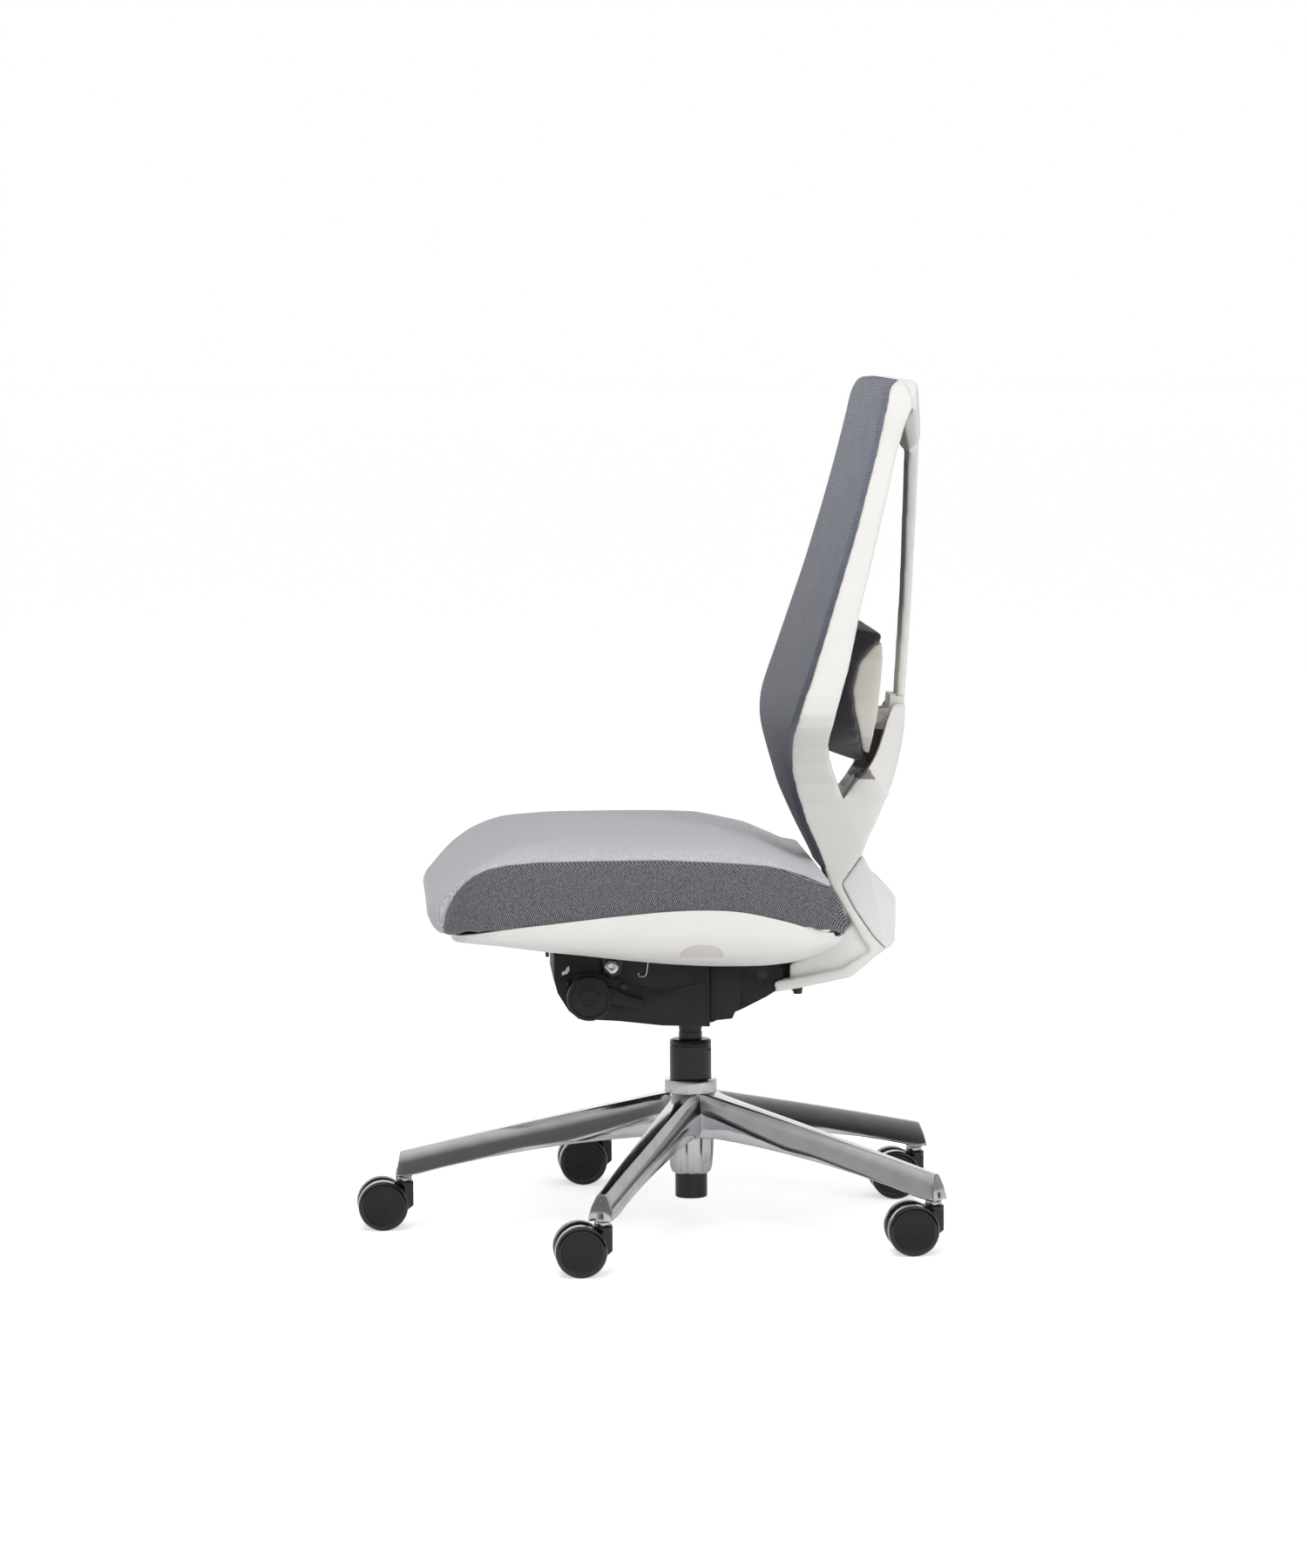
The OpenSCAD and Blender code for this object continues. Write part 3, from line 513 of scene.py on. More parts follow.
def arm_section(reach, lead):
    """The half section at one reach, from the ridge down and in to the hollow underside."""
    top, foot = arm_top(reach), arm_foot(reach)
    flare = 7 * math.exp(-max(reach - 26, 0) / 9)
    fade = min(max((reach - 40) / 130, 0), 1)
    crease = foot + (top - foot) * 0.52 * (1 - fade) + 1.5
    tuck = 9 * (1 - fade) ** 1.5 + 0.6
    ridge = flank(reach, top) - 1.2 + flare
    crease_half = flank(reach, crease) + 1.6 + flare * 0.6
    foot_half = flank(reach, foot) + 1.2 - tuck + flare * 0.6
    hollow = 9 if reach < STEM_R - 16 else 0.4
    return [(0, reach + lead, top + 0.8), (ridge - 1.8, reach + lead, top + 0.4),
            (ridge, reach + lead * 0.9, top - 1.6),
            (ridge + 1.0 + (crease_half - ridge) * 0.5, reach + lead * 0.5, (top + crease) / 2),
            (crease_half, reach + lead * 0.25, crease), (foot_half + 0.4, reach, foot + 1.2),
            (foot_half - 1.0, reach, foot), (foot_half - 4, reach, foot),
            (foot_half - 6, reach, foot + hollow), (0, reach, foot + hollow + 2)]


def section_ring(bm, half):
    ring = half + [(-x, y, z) for x, y, z in reversed(half[1:-1])]
    verts = [bm.verts.new(p) for p in ring]
    return [bm.edges.new((a, b)) for a, b in zip(verts, verts[1:] + verts[:1])]


def skin_rings(bm, rings):
    for near, far in zip(rings, rings[1:]):
        bmesh.ops.bridge_loops(bm, edges=near + far)
    for end in (rings[0], rings[-1]):
        bmesh.ops.holes_fill(bm, edges=end, sides=0)


reaches = [16, 26, 31, 37, 45, 58, 80, 110, 150, 200, 250, 300, 326, 338, 348, 356]
bm = bmesh.new()
skin_rings(bm, [section_ring(bm, arm_section(r, -5.5 if r > 350 else 0)) for r in reaches])
bmesh.ops.recalc_face_normals(bm, faces=bm.faces)
crisp = [e for e in bm.edges if len(e.link_faces) == 2 and e.calc_face_angle(0) > 0.5]
bmesh.ops.bevel(bm, geom=crisp, offset=0.9, offset_type="OFFSET", affect="EDGES", segments=2,
                profile=0.5, material=-1, clamp_overlap=True)
arm_geometry = bm.verts[:] + bm.edges[:] + bm.faces[:]
for copy in range(1, ARM_COUNT):
    twin = bmesh.ops.duplicate(bm, geom=arm_geometry)["geom"]
    bmesh.ops.rotate(bm, verts=[g for g in twin if isinstance(g, bmesh.types.BMVert)],
                     matrix=Matrix.Rotation(math.radians(72 * copy), 3, "Z"))
bmesh.ops.rotate(bm, verts=bm.verts, matrix=Matrix.Rotation(-first_turn, 3, "Z"))
for v in bm.verts:
    v.tag = True
print("arm built from", len(reaches), "sections")

# %% [markdown]
# The hub is turned: a collar round the column, a waist between the arms, and a short cone below
# with ten drawn-in flutes. Under each arm's end sits the socket boss that takes the caster stem.

# %% Hub, flutes and sockets
hub = turned(bm, [(25.1, 178), (25.1, 180.2), (29.6, 180.2), (31.2, 178.8), (HUB_R, 176.5),
                  (HUB_R, 158.5), (30.4, 155.5), (29.2, 150), (28.4, 140), (28, 112), (27, 92),
                  (25.4, 73), (23.6, 67.2), (21.4, 65.2), (19.6, 65.2), (19.4, 70)], 80)
for v in hub:
    if v.co.z < 100:
        around = math.atan2(v.co.y, v.co.x)
        flute = max(0.0, math.cos(around * 10)) ** 6
        shrink = 1 - 0.045 * flute
        v.co.x *= shrink
        v.co.y *= shrink
for spot in caster_spots:
    turned(bm, [(0, 62.4), (9.4, 62.4), (10.4, 63.2), (10.4, 66), (9, 72)], 40, (spot.x, spot.y, 0))
finish_piece("base_casting", bm, polished, "base", ("star_base",), 30)

# %% [markdown]
# ## The column
# The lift column is a black tube pressed into the hub, with a rolled lip and a groove near its
# top, and the thinner pressure tube that slides in it. Both are plain turned shapes.

# %% Column and pressure tube
tube_high = box_mm("column_tube")[1]
bm = bmesh.new()
top = tube_high.z
turned(bm, [(5.2, 35.4), (18.2, 35.4), (19.25, 36.6), (19.25, 91), (24, 100), (25, 181),
            (25, top - 8), (24.3, top - 7.4), (24.3, top - 6.6), (25, top - 6),
            (25, top - 2.2), (24.2, top - 0.7), (22.8, top), (14.3, top), (14.3, top - 6),
            (5.2, top - 6)], 72)
turned(bm, [(0, -1.1), (1.7, -1.1), (1.9, 0), (1.9, 1.2), (0, 1.2)], 20, (12, 21.8, top - 12), "X")
finish_piece("column_sleeve", bm, column_black, "base", ("column_tube",))

gas_low, gas_high = box_mm("gas_cylinder")
bm = bmesh.new()
turned(bm, [(0, gas_low.z), (12, gas_low.z), (14, gas_low.z + 3), (14, 236), (13.4, 236.6),
            (13.4, 238.4), (14, 239), (14, gas_high.z - 2), (12.4, gas_high.z),
            (0, gas_high.z)], 56)
finish_piece("pressure_tube", bm, column_black, "chassis", ("gas_cylinder",))

# %% [markdown]
# ## Casters
# A twin-wheel caster is a dark hood over two wheels on one axle. The rims are glossy and rolled,
# and the outer face of each wheel carries a recessed matt disc. The place and the direction of
# every axle come from its joint.

# %% Wheels
WHEEL_R, WHEEL_W = 30, 19.5


def wheel_profile(side):
    """Radius and distance from the middle plane: tread, rolled rim, step and matt disc."""
    web, out = 8.6, 8.6 + WHEEL_W
    profile = [(4.3, web), (WHEEL_R - 2.4, web), (WHEEL_R - 0.7, web + 0.7), (WHEEL_R, web + 2.4),
               (WHEEL_R, out - 6.5)]
    profile += [(WHEEL_R - 5.4 + 5.4 * math.cos(a), out - 5.4 + 5.4 * math.sin(a))
                for a in [math.radians(15 * k) for k in range(0, 7)]]
    profile += [(WHEEL_R - 6.2, out - 0.15), (WHEEL_R - 6.9, out - 0.9), (WHEEL_R - 7.6, out - 1.0),
                (9, out - 0.55), (8.2, out - 0.75), (0, out - 0.75)]
    return [(radius, side * reach) for radius, reach in profile]


def make_wheel(i, side, letter):
    joint = joints[f"wheel_{i}_{letter}_roll"]
    spot = Vector(joint["pos_m"]) / MM
    axle = Vector(joint["axis"])
    bm = bmesh.new()
    turned(bm, wheel_profile(side), 56)
    turn = Vector((0, 0, 1)).rotation_difference(axle).to_matrix()
    bmesh.ops.rotate(bm, verts=bm.verts, matrix=turn)
    bmesh.ops.translate(bm, verts=bm.verts, vec=spot)
    out = 8.6 + WHEEL_W - 1.05
    for face in bm.faces:
        offset = face.calc_center_median() - spot
        reach = abs(offset.dot(axle))
        radius = (offset - axle * offset.dot(axle)).length
        face.material_index = int(reach > out and radius < WHEEL_R - 7)
    finish_piece(f"wheel_{i}_{letter}", bm, [caster_gloss, caster_matt], f"wheel_{i}_{letter}",
                 (f"caster_{i}_wheel_{letter}",), 32)


for i in range(1, ARM_COUNT + 1):
    make_wheel(i, 1, "l")
    make_wheel(i, -1, "r")

# %% [markdown]
# The hood is a thin arch between the wheels with a block at one side that holds the stem. A copy
# of the CAD solid with its flat triangles dissolved and its edges rolled over is enough, and the
# same treatment serves every prismatic part.

# %% Dressed copies of prismatic parts
def dressed(name, node, paint, body, width=1.0, segments=2, angle=28):
    bm = cad_copy(node)
    bmesh.ops.dissolve_limit(bm, angle_limit=math.radians(1.5), verts=bm.verts, edges=bm.edges)
    soften(bm, width, segments, angle)
    return finish_piece(name, bm, paint, body, (node,))


for i in range(1, ARM_COUNT + 1):
    dressed(f"hood_{i}", f"caster_{i}_hood", caster_gloss, f"caster_{i}", 0.9)
    dressed(f"stem_{i}", f"caster_{i}_pins", bright_steel, f"caster_{i}", 0.4)

# %% [markdown]
# ## The mechanism
# Under the seat hangs a black die-cast housing. Its side carries a raised lower panel with a
# bent upper edge, the round neck of the tension knob, and behind it a plain band that covers the
# joint with the tail. The housing is a dressed CAD copy, and the raised panel is a thin slab
# whose edges are rolled over, laid on each side.

# %% Housing, band and lid
dressed("housing", "mechanism_housing", cast_black, "chassis", 2.2, 3, 24)
dressed("housing_top", "housing_lid", cast_black, "chassis", 0.8)
dressed("housing_band", "housing_rear_cover", cast_black, "chassis", 1.2)
house_high = box_mm("mechanism_housing")[1]
bm = bmesh.new()
panel = [(-132, 266), (-90, 262.5), (-38, 256), (16, 254), (16, 306), (2, 300), (-8, 293),
         (-34, 295), (-60, 300), (-78, 303), (-104, 300), (-140, 296), (-152, 285), (-147, 275)]
for side in (-1, 1):
    across(bm, panel, side * (house_high.x - 0.5), side * (house_high.x + 0.9))
soften(bm, 0.7, 2)
finish_piece("housing_side_panels", bm, cast_black, "chassis", ())

# %% [markdown]
# The knob on the left side sets the spring tension. It is turned: a rolled rim with a fine knurl,
# a shallow dished face and a raised ring in the middle. A flange with two screws holds its neck.

# %% Knob, flange and screws
knob_low, knob_high = box_mm("tension_knob")
knob_spot = joint_spot("tension_turn")
face_x, knob_r = knob_high.x, (knob_high.z - knob_low.z) / 2
rim_x = box_mm("knob_flange")[1].x + 0.4
bm = bmesh.new()
turned(bm, [(0, rim_x - 40), (6, rim_x - 40), (6, rim_x), (18, rim_x), (19.5, rim_x + 2.5),
            (knob_r - 1.6, rim_x + 4.6), (knob_r, rim_x + 6.4), (knob_r, face_x - 2.6),
            (knob_r - 0.8, face_x - 0.8), (knob_r - 2.4, face_x), (knob_r - 4.2, face_x - 0.2),
            (knob_r - 5.4, face_x - 1.5), (12, face_x - 1.2), (10.6, face_x - 0.4),
            (9.6, face_x - 0.1), (8.6, face_x - 0.4), (7.8, face_x - 1.3), (0, face_x - 1.2)],
       72, (0, knob_spot.y, knob_spot.z), "X")
for v in bm.verts:
    arm = Vector((0, v.co.y - knob_spot.y, v.co.z - knob_spot.z))
    if arm.length > knob_r - 0.3 and rim_x + 6 < v.co.x < face_x - 2:
        notch = 0.5 - 0.5 * math.cos(36 * math.atan2(arm.z, arm.y))
        v.co -= arm.normalized() * 0.35 * notch
finish_piece("knob", bm, black_moulding, "knob", ("tension_knob",))

dressed("knob_neck", "knob_flange", black_moulding, "chassis", 0.8)
dressed("lock_lever", "tilt_lock_lever", black_moulding, "lock_lever", 1.6, 3)
dressed("lift_handle", "height_lever", black_moulding, "lift_lever", 1.6, 3)
dressed("screws", "flange_screws", column_black, "chassis", 0.4)

# %% [markdown]
# Bright parts catch the eye here: the seat's pivot bolt with its hexagon socket, a bent wire
# clip, and a small white hook. The wire is a bevelled curve, the easiest way to bend a wire.

# %% Pivot bolts, wire and hook
dressed("pivot_bolts", "tilt_bolts", zinc, "carrier", 0.5)
wire_low, wire_high = box_mm("wire_clip")
wire_x = (wire_low.x + wire_high.x) / 2 + 1.2
path = [(wire_x - 3, -57.5, 313.5), (wire_x - 0.4, -58.2, 313.2), (wire_x, -60.5, 312.4),
        (wire_x, -65.4, 312.8), (wire_x, -66.4, 315.2), (wire_x, -65.0, 317.0)]
path_up = [(wire_x, -60.5, 312.4), (wire_x, -57.6, 313.2), (wire_x, -56.4, 316),
           (wire_x, -53.6, 336)]
wire = bpy.data.curves.new("wire", "CURVE")
wire.dimensions = "3D"
wire.bevel_depth = 0.8 * MM
wire.bevel_resolution = 3
wire.use_fill_caps = True
for bend in (path, path_up):
    spline = wire.splines.new("POLY")
    spline.points.add(len(bend) - 1)
    for point, co in zip(spline.points, bend):
        point.co = (*[c * MM for c in co], 1)
wire.materials.append(bright_steel)
wire_piece = bpy.data.objects.new("wire", wire)
bpy.context.scene.collection.objects.link(wire_piece)
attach(wire_piece, "chassis")
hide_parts("wire_clip")

bm = bmesh.new()
hook = [(-157, 315), (-151, 316.5), (-147.5, 321), (-148.5, 326.5), (-151.5, 324), (-153, 320.5),
        (-157, 319.5)]
for side in (-1, 1):
    across(bm, hook, side * (house_high.x - 1), side * (house_high.x + 4))
soften(bm, 0.6)
finish_piece("hooks", bm, beige, "chassis", ())

# %% [markdown]
# ## Rails and pan
# The seat slides on a black pressed carrier, and a plywood-like pan carries the cushion. Both
# keep their CAD shape with rolled edges.

# %% Carrier and pan
dressed("seat_rails", "seat_carrier", column_black, "carrier", 0.7)
dressed("pan", "seat_pan", black_moulding, "seat", 1.5)

# %% [markdown]
# ## The seat shell
# The cushion sits in a white moulded shell. Seen from below it is a shallow dish with steep
# flanks and a big opening for the rails. A dish is best drawn as a sheet: a square grid is bent
# into a rounded rectangle, each point takes its height from the bottom line and the rim line, and
# the sheet is given a wall thickness at the end.

# %% Bend a grid into the dish
shell_low, shell_high = box_mm("seat_shell")
SHELL_HALF = shell_high.x
mid_y, reach_y = (shell_low.y + shell_high.y) / 2, (shell_high.y - shell_low.y) / 2
rim = smooth_reader([(-292, 377.6), (-237, 387.6), (-168, 395.6), (-100, 403.1), (-32, 408.6),
                     (19, 408.9), (54, 405.2), (100, 394.2), (127, 385.6), (148, 380.2),
                     (163, 378.2), (174, 379.4)])
keel = smooth_reader([(-292, 368), (-252, 361), (-201, 353), (-173, 348.5), (-125, 342),
                      (-86, 336.5), (-38, 331), (11, 327.5), (59, 327), (88, 328.5), (117, 334),
                      (146, 346.5), (166, 361), (174, 372)])


def dish(share, power=3.3):
    return 1 - (1 - min(share, 1) ** power) ** (1 / power)


def dense(t, pull=0.55):
    """Moves grid lines towards the border, where the dish turns up."""
    return (1 - pull) * t + pull * math.sin(t * math.pi / 2)


def shell_point(u, v):
    reach = max(abs(u), abs(v), 1e-6)
    corner = ((abs(u) / reach) ** 8 + (abs(v) / reach) ** 8) ** (-1 / 8)
    keep = 1 + (corner - 1) * reach ** 3
    x, y = u * keep * SHELL_HALF, mid_y + v * keep * reach_y
    share = 1 - (1 - dish(abs(u))) * (1 - dish(abs(v), 14))
    return Vector((x, y, keel(y) + (rim(y) - keel(y)) * share))


GRID, WALL = 110, 3.5
bm = bmesh.new()
bmesh.ops.create_grid(bm, x_segments=GRID, y_segments=GRID, size=1)
for v in bm.verts:
    v.co = shell_point(dense(v.co.x), dense(v.co.y))
opening = [f for f in bm.faces if abs(f.calc_center_median().x) < 98
           and -186 < f.calc_center_median().y < 176]
bmesh.ops.delete(bm, geom=opening, context="FACES")
bmesh.ops.recalc_face_normals(bm, faces=bm.faces)
if sum(f.normal.z for f in bm.faces) > 0:
    bmesh.ops.reverse_faces(bm, faces=bm.faces)
bmesh.ops.solidify(bm, geom=bm.faces[:], thickness=WALL)
finish_piece("seat_shell_moulding", bm, warm_white, "seat", ("seat_shell",), 50)

# %% [markdown]
# A half-moon cover closes the armrest slot on each flank. It lies in the dish's own surface, so
# it is the same sheet again, cut to a half disc and lifted by the thickness of a plate.

# %% Half-moon covers
def shell_x(y, z):
    """Where the shell's flank stands at a height: the dish formula turned round."""
    share = (z - keel(y)) / (rim(y) - keel(y))
    return SHELL_HALF * (1 - (1 - share) ** 3.3) ** (1 / 3.3)


cover_low, cover_high = box_mm("slot_covers")
cover_y, cover_z = (cover_low.y + cover_high.y) / 2, cover_low.z - 1
cover_r, cover_rise = (cover_high.y - cover_low.y) / 2, 15
bm = bmesh.new()
bmesh.ops.create_grid(bm, x_segments=24, y_segments=10, size=1)
for v in bm.verts:
    a, lift = v.co.x, (v.co.y + 1) / 2
    y = cover_y + cover_r * a
    z = cover_z + lift * cover_rise * max(1 - abs(a) ** 2.4, 0.02) ** 0.5
    v.co = (shell_x(y, z) + 0.25, y, z)
bmesh.ops.solidify(bm, geom=bm.faces[:], thickness=1.2)
mirrored = bmesh.ops.duplicate(bm, geom=bm.verts[:] + bm.edges[:] + bm.faces[:])["geom"]
for g in mirrored:
    if isinstance(g, bmesh.types.BMVert):
        g.co.x = -g.co.x
finish_piece("half_moon_covers", bm, beige, "seat", ("slot_covers",))

# %% [markdown]
# ## The seat cushion
# A cushion is foam under stretched cloth: full, crowned, and slightly drawn in along its seams.
# It starts as a copy of the plain CAD solid. Voxels turn that into an even skin, a short cloth
# simulation blows the skin up from inside, and each point is kept near its start, because foam
# doesn't let the cloth wander. Then the crown and the rear end are drawn to the side outline, and
# the lower edge sinks into the shell. The seams are pressed in last, on the finest mesh.

# %% Blow up a skin
def inflate(skin, pressure, cap_mm, frames=20):
    """Cloth pressure on a closed skin, with every point held within cap_mm of its start."""
    bmesh.ops.scale(skin, vec=(MM, MM, MM), verts=skin.verts)
    mesh = bpy.data.meshes.new("skin")
    skin.to_mesh(mesh)
    pad = bpy.data.objects.new("skin", mesh)
    bpy.context.scene.collection.objects.link(pad)
    start = [v.co.copy() for v in mesh.vertices]
    cloth = pad.modifiers.new("cloth", "CLOTH")
    cloth.settings.use_pressure = True
    cloth.settings.uniform_pressure_force = pressure
    cloth.settings.quality = 5
    cloth.settings.effector_weights.gravity = 0
    cloth.collision_settings.use_collision = False
    for step in range(1, frames + 1):
        bpy.context.scene.frame_set(step)
    settled = pad.evaluated_get(bpy.context.evaluated_depsgraph_get()).to_mesh()
    ends = [v.co.copy() for v in settled.vertices]
    bpy.context.scene.frame_set(1)
    bpy.data.objects.remove(pad)
    bpy.data.meshes.remove(mesh)
    for v, a, b in zip(skin.verts, start, ends):
        move = b - a
        if move.length > cap_mm * MM:
            move = move.normalized() * cap_mm * MM
        v.co = a + move
    bmesh.ops.scale(skin, vec=(1 / MM, 1 / MM, 1 / MM), verts=skin.verts)
    smooth(skin, skin.verts, 3)
    return skin


def rise(value, low, high):
    """Climbs smoothly from 0 at low to 1 at high."""
    t = min(max((value - low) / (high - low), 0), 1)
    return t * t * (3 - 2 * t)


def split_once(skin):
    bmesh.ops.subdivide_edges(skin, edges=skin.edges[:], cuts=1, use_grid_fill=True,
                              smooth=0.9)


# %% Seat cushion: skin, pressure and seams
bm = cad_copy("seat_cushion")
bm = voxel_skin(bm, 5.5, 7)
bm = inflate(bm, 4, 2.5)
split_once(bm)
edge_z = smooth_reader([(-292, 378), (-237, 388), (-168, 396), (-100, 403.5), (-32, 409),
                        (19, 409.3), (54, 405.6), (100, 394.6), (127, 386), (148, 380.6),
                        (172, 380)])
crown_fix = smooth_reader([(-330, -13), (-301, -14.9), (-279, -14.9), (-256, -11), (-233, -7.4),
                           (-211, -5.6), (-188, -4.5), (-150, -3.2), (10, -3.2), (36, -4.2),
                           (58, -4.4), (81, -4), (103, -5.3), (120, -4.3), (131, -2.5), (142, 3),
                           (152, 8), (175, 9)])
rear_line = smooth_reader([(370, 166), (381, 168), (388, 171.4), (404, 167.3), (425, 157.2),
                           (445, 147.1), (466, 137.4), (485, 122)])
for v in bm.verts:
    y, z = v.co.y, v.co.z
    v.co.z += crown_fix(y) * rise(z, 400, 448)
    v.co.z -= 7 * (1 - rise(-y, 235, 290)) * (1 - rise(z, edge_z(y) - 4, edge_z(y) + 22))
    v.co.y += 9 * rise(y, 120, 160) * (1 - rise(z, 432, 456))
    v.co.y = min(v.co.y, rear_line(v.co.z) - 1)
smooth(bm, bm.verts, 3)
print("cushion skin:", len(bm.verts), "points, top", max(v.co.z for v in bm.verts))

SEAM = [(-297, 372), (-300, 390), (-297, 405.6), (-292, 418.7), (-284.5, 431.8), (-275, 443),
        (-264, 452), (-249, 459), (-226, 463.7), (-189, 466.5), (-115, 467.4), (-46, 467.4),
        (20, 464), (55, 461.5), (77, 459.5), (98, 455), (120, 448), (144, 437),
        (160, 431), (200, 428), (200, 374)]


def seam_distance(y, z):
    """Signed distance to the seam line in side view: positive inside the side band."""
    best, inside = 1e9, False
    closed = SEAM + [(0, 300)]
    for (y0, z0), (y1, z1) in zip(closed, closed[1:] + closed[:1]):
        if (z0 > z) != (z1 > z) and y < (y1 - y0) * (z - z0) / (z1 - z0) + y0:
            inside = not inside
    for (y0, z0), (y1, z1) in zip(SEAM, SEAM[1:]):
        dy, dz = y1 - y0, z1 - z0
        t = min(max(((y - y0) * dy + (z - z0) * dz) / (dy * dy + dz * dz), 0), 1)
        best = min(best, math.hypot(y - y0 - t * dy, z - z0 - t * dz))
    return best if inside else -best


bm.normal_update()
band_values = []
for v in bm.verts:
    x = abs(v.co.x)
    distance = seam_distance(v.co.y, v.co.z) if x > 110 or v.co.y > 100 else -60.0
    band_values.append(distance)
    press = math.exp(-(distance / 3.0) ** 2) * min(max((x - 120) / 60, 0), 1)
    v.co -= v.normal * 1.3 * press
cushion = finish_piece("seat_pad", bm, seat_fabric, "seat", ("seat_cushion",), 180)
attribute = cushion.data.attributes.new("band", "FLOAT", "POINT")
attribute.data.foreach_set("value", band_values)

# %% [markdown]
# ## The back shell
# Ring, arm, spine and cup look like one white moulding on the real chair. Voxels melt the four
# CAD solids into one skin. The ring's flank isn't flat: from a soft line behind its front edge it
# turns in towards the rear, so the rear part of the flank is drawn in a little. Below, the flank
# runs smoothly into the cup, the opening ends in a crisp notch, and the cup's hollow gets a
# darker brown-grey colour that is painted shade, not the plastic's own colour.

# %% Ring, cup and arm
front_line = smooth_reader([(429, 161), (461, 149), (506, 131), (550, 118), (581, 112.5),
                            (603, 111), (645, 118), (712, 141), (800, 169), (889, 195),
                            (977, 217), (1011, 228), (1019, 237)])
half_line = smooth_reader([(429, 46), (480, 48), (512, 55), (540, 70), (566, 95), (602, 160),
                           (616, 194), (632, 215), (655, 221), (690, 220), (760, 212),
                           (850, 201), (930, 192), (978, 188), (1000, 183), (1019, 150)])
cup_edge = smooth_reader([(180.5, 519), (190, 533), (200, 546.5), (212, 564), (220, 578),
                          (227, 595), (233, 612), (240, 630)])
bm = cad_copy("back_frame", "back_cup", "back_arm", "back_spine")
for side in (-1, 1):
    flank_wall = across(bm, [(178, 517), (190, 533), (200, 546.5), (212, 564), (220, 578),
                             (227, 595), (230, 585), (234, 560), (232, 530), (200, 517)], 0, 1)
    for v in flank_wall:
        outer = min(half_line(v.co.z), 118 - max(v.co.y - 184, 0) * 1.118)
        v.co.x = side * (outer - 11 + 11 * v.co.x)
bm = voxel_skin(bm, 2.4, 4)


def z_in_cup(z):
    return 495 < z < 600


for v in bm.verts:
    behind = v.co.y - front_line(v.co.z) - 13
    outer = abs(v.co.x) - half_line(v.co.z)
    if behind > 0 and outer > -22 and v.co.z > 560 and v.co.y < 250:
        draw = 5.5 * min(behind / 34, 1) ** 1.2 * min((v.co.z - 560) / 60, 1)
        v.co.x -= math.copysign(draw, v.co.x)
    if z_in_cup(v.co.z):
        slant = max(118 - max(v.co.y - 184, 0) * 1.118, 24)
        share = rise(v.co.z, 500, 545)
        limit = half_line(v.co.z) * (1 - share) + min(half_line(v.co.z), slant) * share
        if v.co.y > 186 and abs(v.co.x) > limit:
            v.co.x = math.copysign(limit, v.co.x)
smooth(bm, bm.verts, 2)
bm.normal_update()
flank = [v for v in bm.verts if 492 < v.co.z < 622 and 172 < v.co.y < 262
         and abs(v.co.x) > 27 and v.normal.x * v.co.x > 0.12 * abs(v.co.x)]
smooth(bm, flank, 45)
for v in bm.verts:
    bottom = 519 + 2.7 * (180.5 - v.co.y) if v.co.y < 180.5 else cup_edge(v.co.y)
    if 160 < v.co.y < 238 and abs(v.co.x) > 26 and bottom < v.co.z < bottom + 24:
        v.co.z = bottom
# Faces inside the cup's hollow take the second finish, a darker colour that is painted shade.
for face in bm.faces:
    spot = face.calc_center_median()
    inner = 110 - max(spot.y - 184, 0) * 1.165
    if 544 < spot.z < 640 and 180 < spot.y < 242 and abs(spot.x) < inner:
        face.material_index = 1
finish_piece("back_moulding", bm, [warm_white, cup_painted_shade], "back",
             ("back_frame", "back_cup", "back_arm", "back_spine"), 60)

# %% Rear cover, bracket and board
bm = voxel_skin(cad_copy("rear_cover"), 1.8, 2)
bm.normal_update()
for v in bm.verts:
    v.co += 0.7 * v.normal
cover_crease = smooth_reader([(338, 232.5), (353.6, 230), (383.4, 225), (405.8, 220), (425, 216)])
for v in bm.verts:
    behind = v.co.y - cover_crease(v.co.z)
    if behind > 0:
        v.co.x -= math.copysign(min(behind * 0.9, 12), v.co.x) * min(abs(v.co.x) / 40, 1)
finish_piece("rear_cover_moulding", bm, cool_white, "back", ("rear_cover",),
             60)
dressed("bracket", "back_bracket", cast_black, "back", 1.5)
dressed("foot_bolts", "arm_bolts", column_black, "back", 0.8)
bm = cad_copy("back_board")
bmesh.ops.bisect_plane(bm, geom=bm.verts[:] + bm.edges[:] + bm.faces[:], plane_co=(0, 0, 452),
                       plane_no=(0, 0, 1), clear_inner=True)
bmesh.ops.holes_fill(bm, edges=[e for e in bm.edges if e.is_boundary], sides=0)
finish_piece("board", bm, black_moulding, "back", ("back_board",))

# %% [markdown]
# ## The back panel
# The front of the back is thin foam under a ribbed knit, stretched over a board and tucked in
# behind the ring's front edge. It is crowned across its width, so it is built as a grid: the
# middle line and the edge line come from the side view, each row bulges between them, and a
# small roll closes the border down to the ring.

# %% Back panel
panel_low, panel_high = box_mm("back_panel")
middle_line = smooth_reader([(436, 154), (444, 150), (467, 138.5), (490, 127), (513, 116.5),
                             (536, 107), (560, 100), (583, 94), (606, 89.5), (629, 90), (652, 95),
                             (698, 111), (744, 127), (790, 143), (836, 157), (881, 170.5),
                             (927, 183), (973, 195), (1000, 201.5), (1010, 204.5), (1019, 209)])
edge_line = smooth_reader([(429, 161), (440, 157), (461, 149), (483, 139), (506, 131), (528, 124),
                           (550, 118), (581, 112.5), (603, 111), (623, 113), (645, 118),
                           (667, 126), (712, 141), (756, 155), (800, 169), (845, 183),
                           (889, 195), (933, 207), (977, 217), (1000, 222), (1011, 228),
                           (1019, 236)])
ROLL = 5.0


def roll_off(gap):
    inside = max(ROLL - gap, 0)
    return ROLL - math.sqrt(ROLL * ROLL - inside * inside)


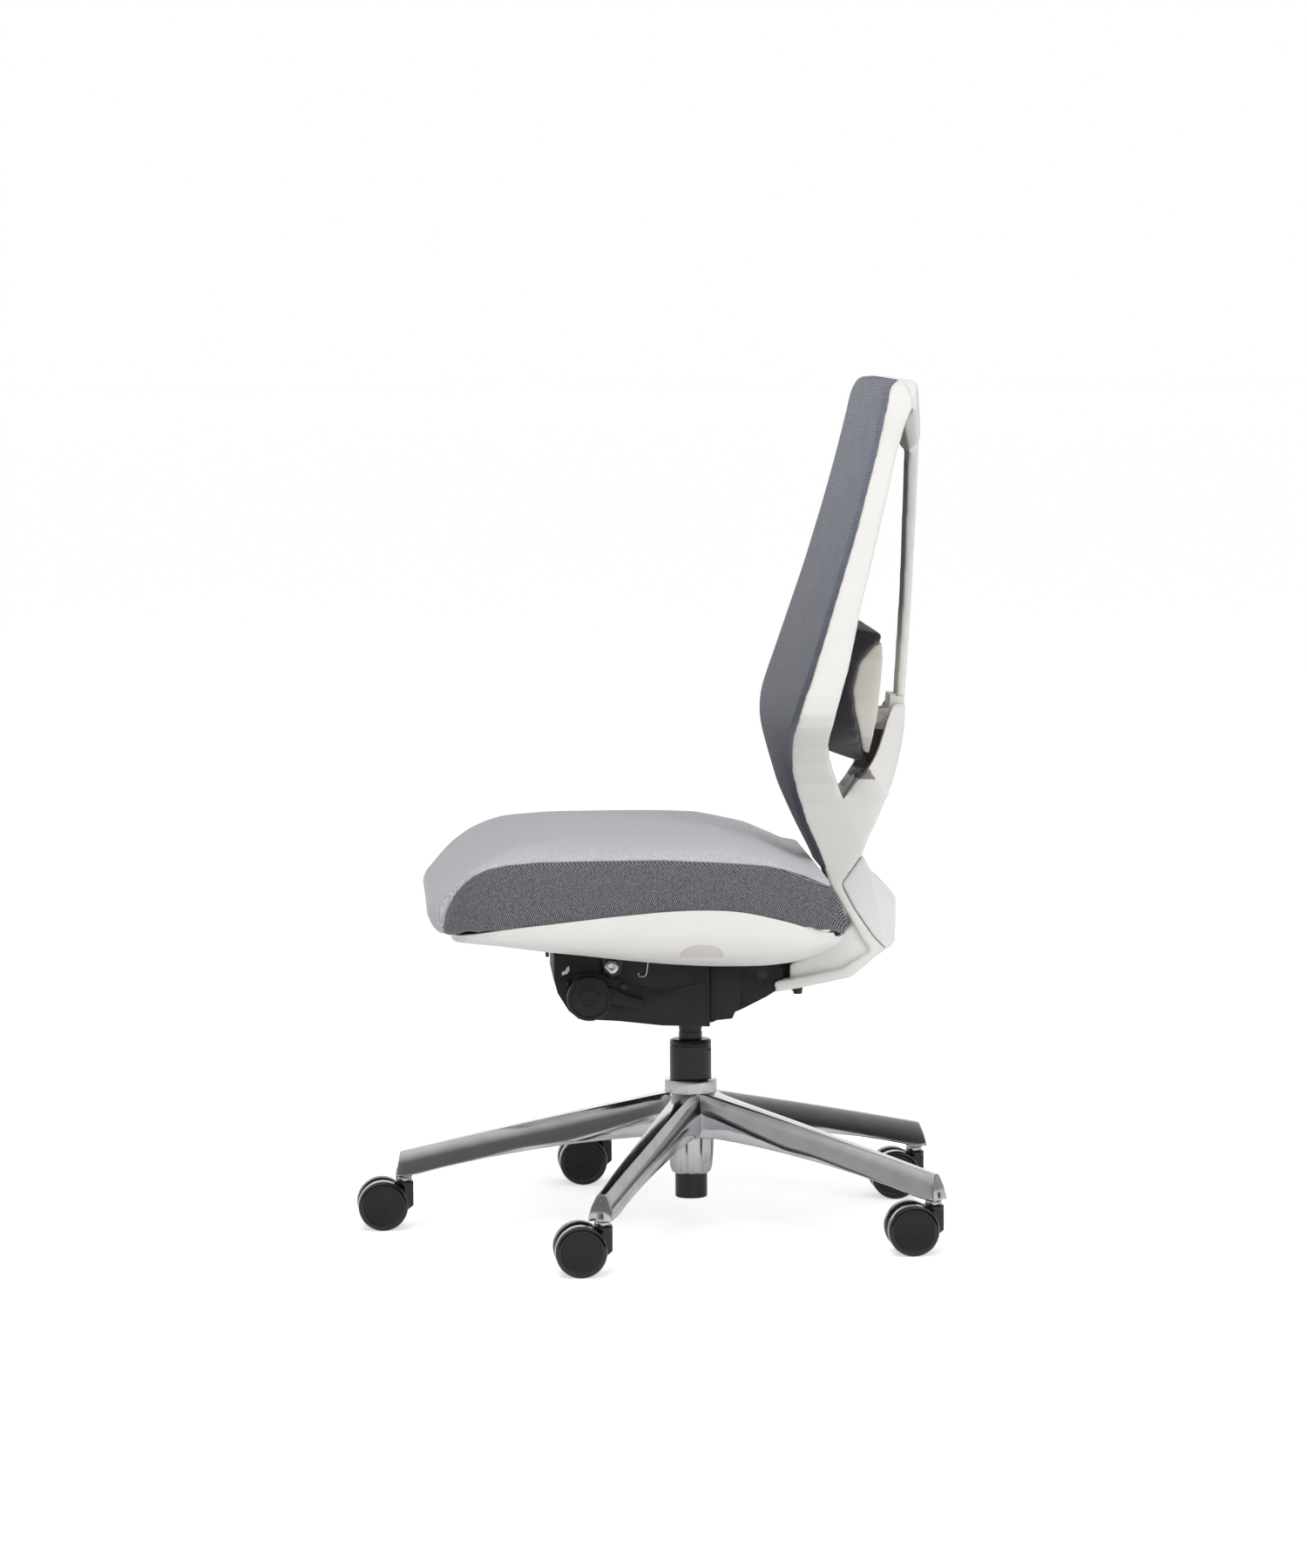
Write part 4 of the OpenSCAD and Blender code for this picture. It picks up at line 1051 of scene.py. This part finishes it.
bm = bmesh.new()
bmesh.ops.create_grid(bm, x_segments=90, y_segments=150, size=1)
foot, head = panel_low.z + 0.5, panel_high.z
for v in bm.verts:
    u, t = dense(v.co.x), dense(v.co.y)
    z = foot + (head - foot) * (t + 1) / 2
    half = half_line(z) + 0.6
    face_y = middle_line(z) + (edge_line(z) - ROLL - middle_line(z)) * abs(u) ** 2.4
    lift = roll_off((1 - abs(u)) * half) + 0.6 * roll_off(head - z) + roll_off(z - foot)
    v.co = (u * half, min(face_y + lift, edge_line(z) + 0.2), z)
pushed = bmesh.ops.extrude_face_region(bm, geom=bm.faces[:], use_keep_orig=True)["geom"]
front_sheet = {g for g in pushed if isinstance(g, bmesh.types.BMVert)}
for v in bm.verts:
    if v not in front_sheet:
        v.co = (v.co.x * 0.985, edge_line(v.co.z) + 2.5, v.co.z)
panel_piece = finish_piece("back_cover", bm, back_knit, "back", ("back_panel",),
                           180)

# %% [markdown]
# ## Lumbar support
# A black pad on an off-white plastic shell slides up and down the spine. The pad gets the same
# treatment as the seat, at a smaller scale, and the shell is a voxel skin.

# %% Lumbar pad, shell and carriage
bm = inflate(voxel_skin(cad_copy("lumbar_cushion"), 4, 4), 4, 2.5)
split_once(bm)
pad = finish_piece("lumbar_pad_cover", bm, black_cloth, "lumbar_pad", ("lumbar_cushion",),
                   180)
bm = voxel_skin(cad_copy("lumbar_shell"), 2, 4)
bm.normal_update()
for v in bm.verts:
    foot_free = rise(v.co.z, 595, 635)
    v.co.y += foot_free * rise(v.normal.y, 0.1, 0.6) * (5 - 3 * rise(v.co.z, 640, 700))
finish_piece("lumbar_plate", bm, beige, "lumbar_pad", ("lumbar_shell",), 60)
dressed("lumbar_slider", "lumbar_carriage", warm_white, "lumbar_slider", 1.0)

# %% [markdown]
# ## Parts that stay as CAD
# Shafts, springs, bearings and clips are already right. They only need their finishes.

# %% Finishes for the remaining nodes
stays = {
    "column_bush": black_moulding, "column_clip": bright_steel, "piston_rod": bright_steel,
    "thrust_bearing": bright_steel, "release_pin": bright_steel, "tilt_springs": bright_steel,
    "spring_seat": zinc, "recline_shaft": column_black, "lumbar_pin": bright_steel,
}
for name, finish in stays.items():
    nodes[name].data.materials.clear()
    nodes[name].data.materials.append(finish)
print("left as CAD:", sorted(n for n, o in nodes.items() if not o.hide_render))
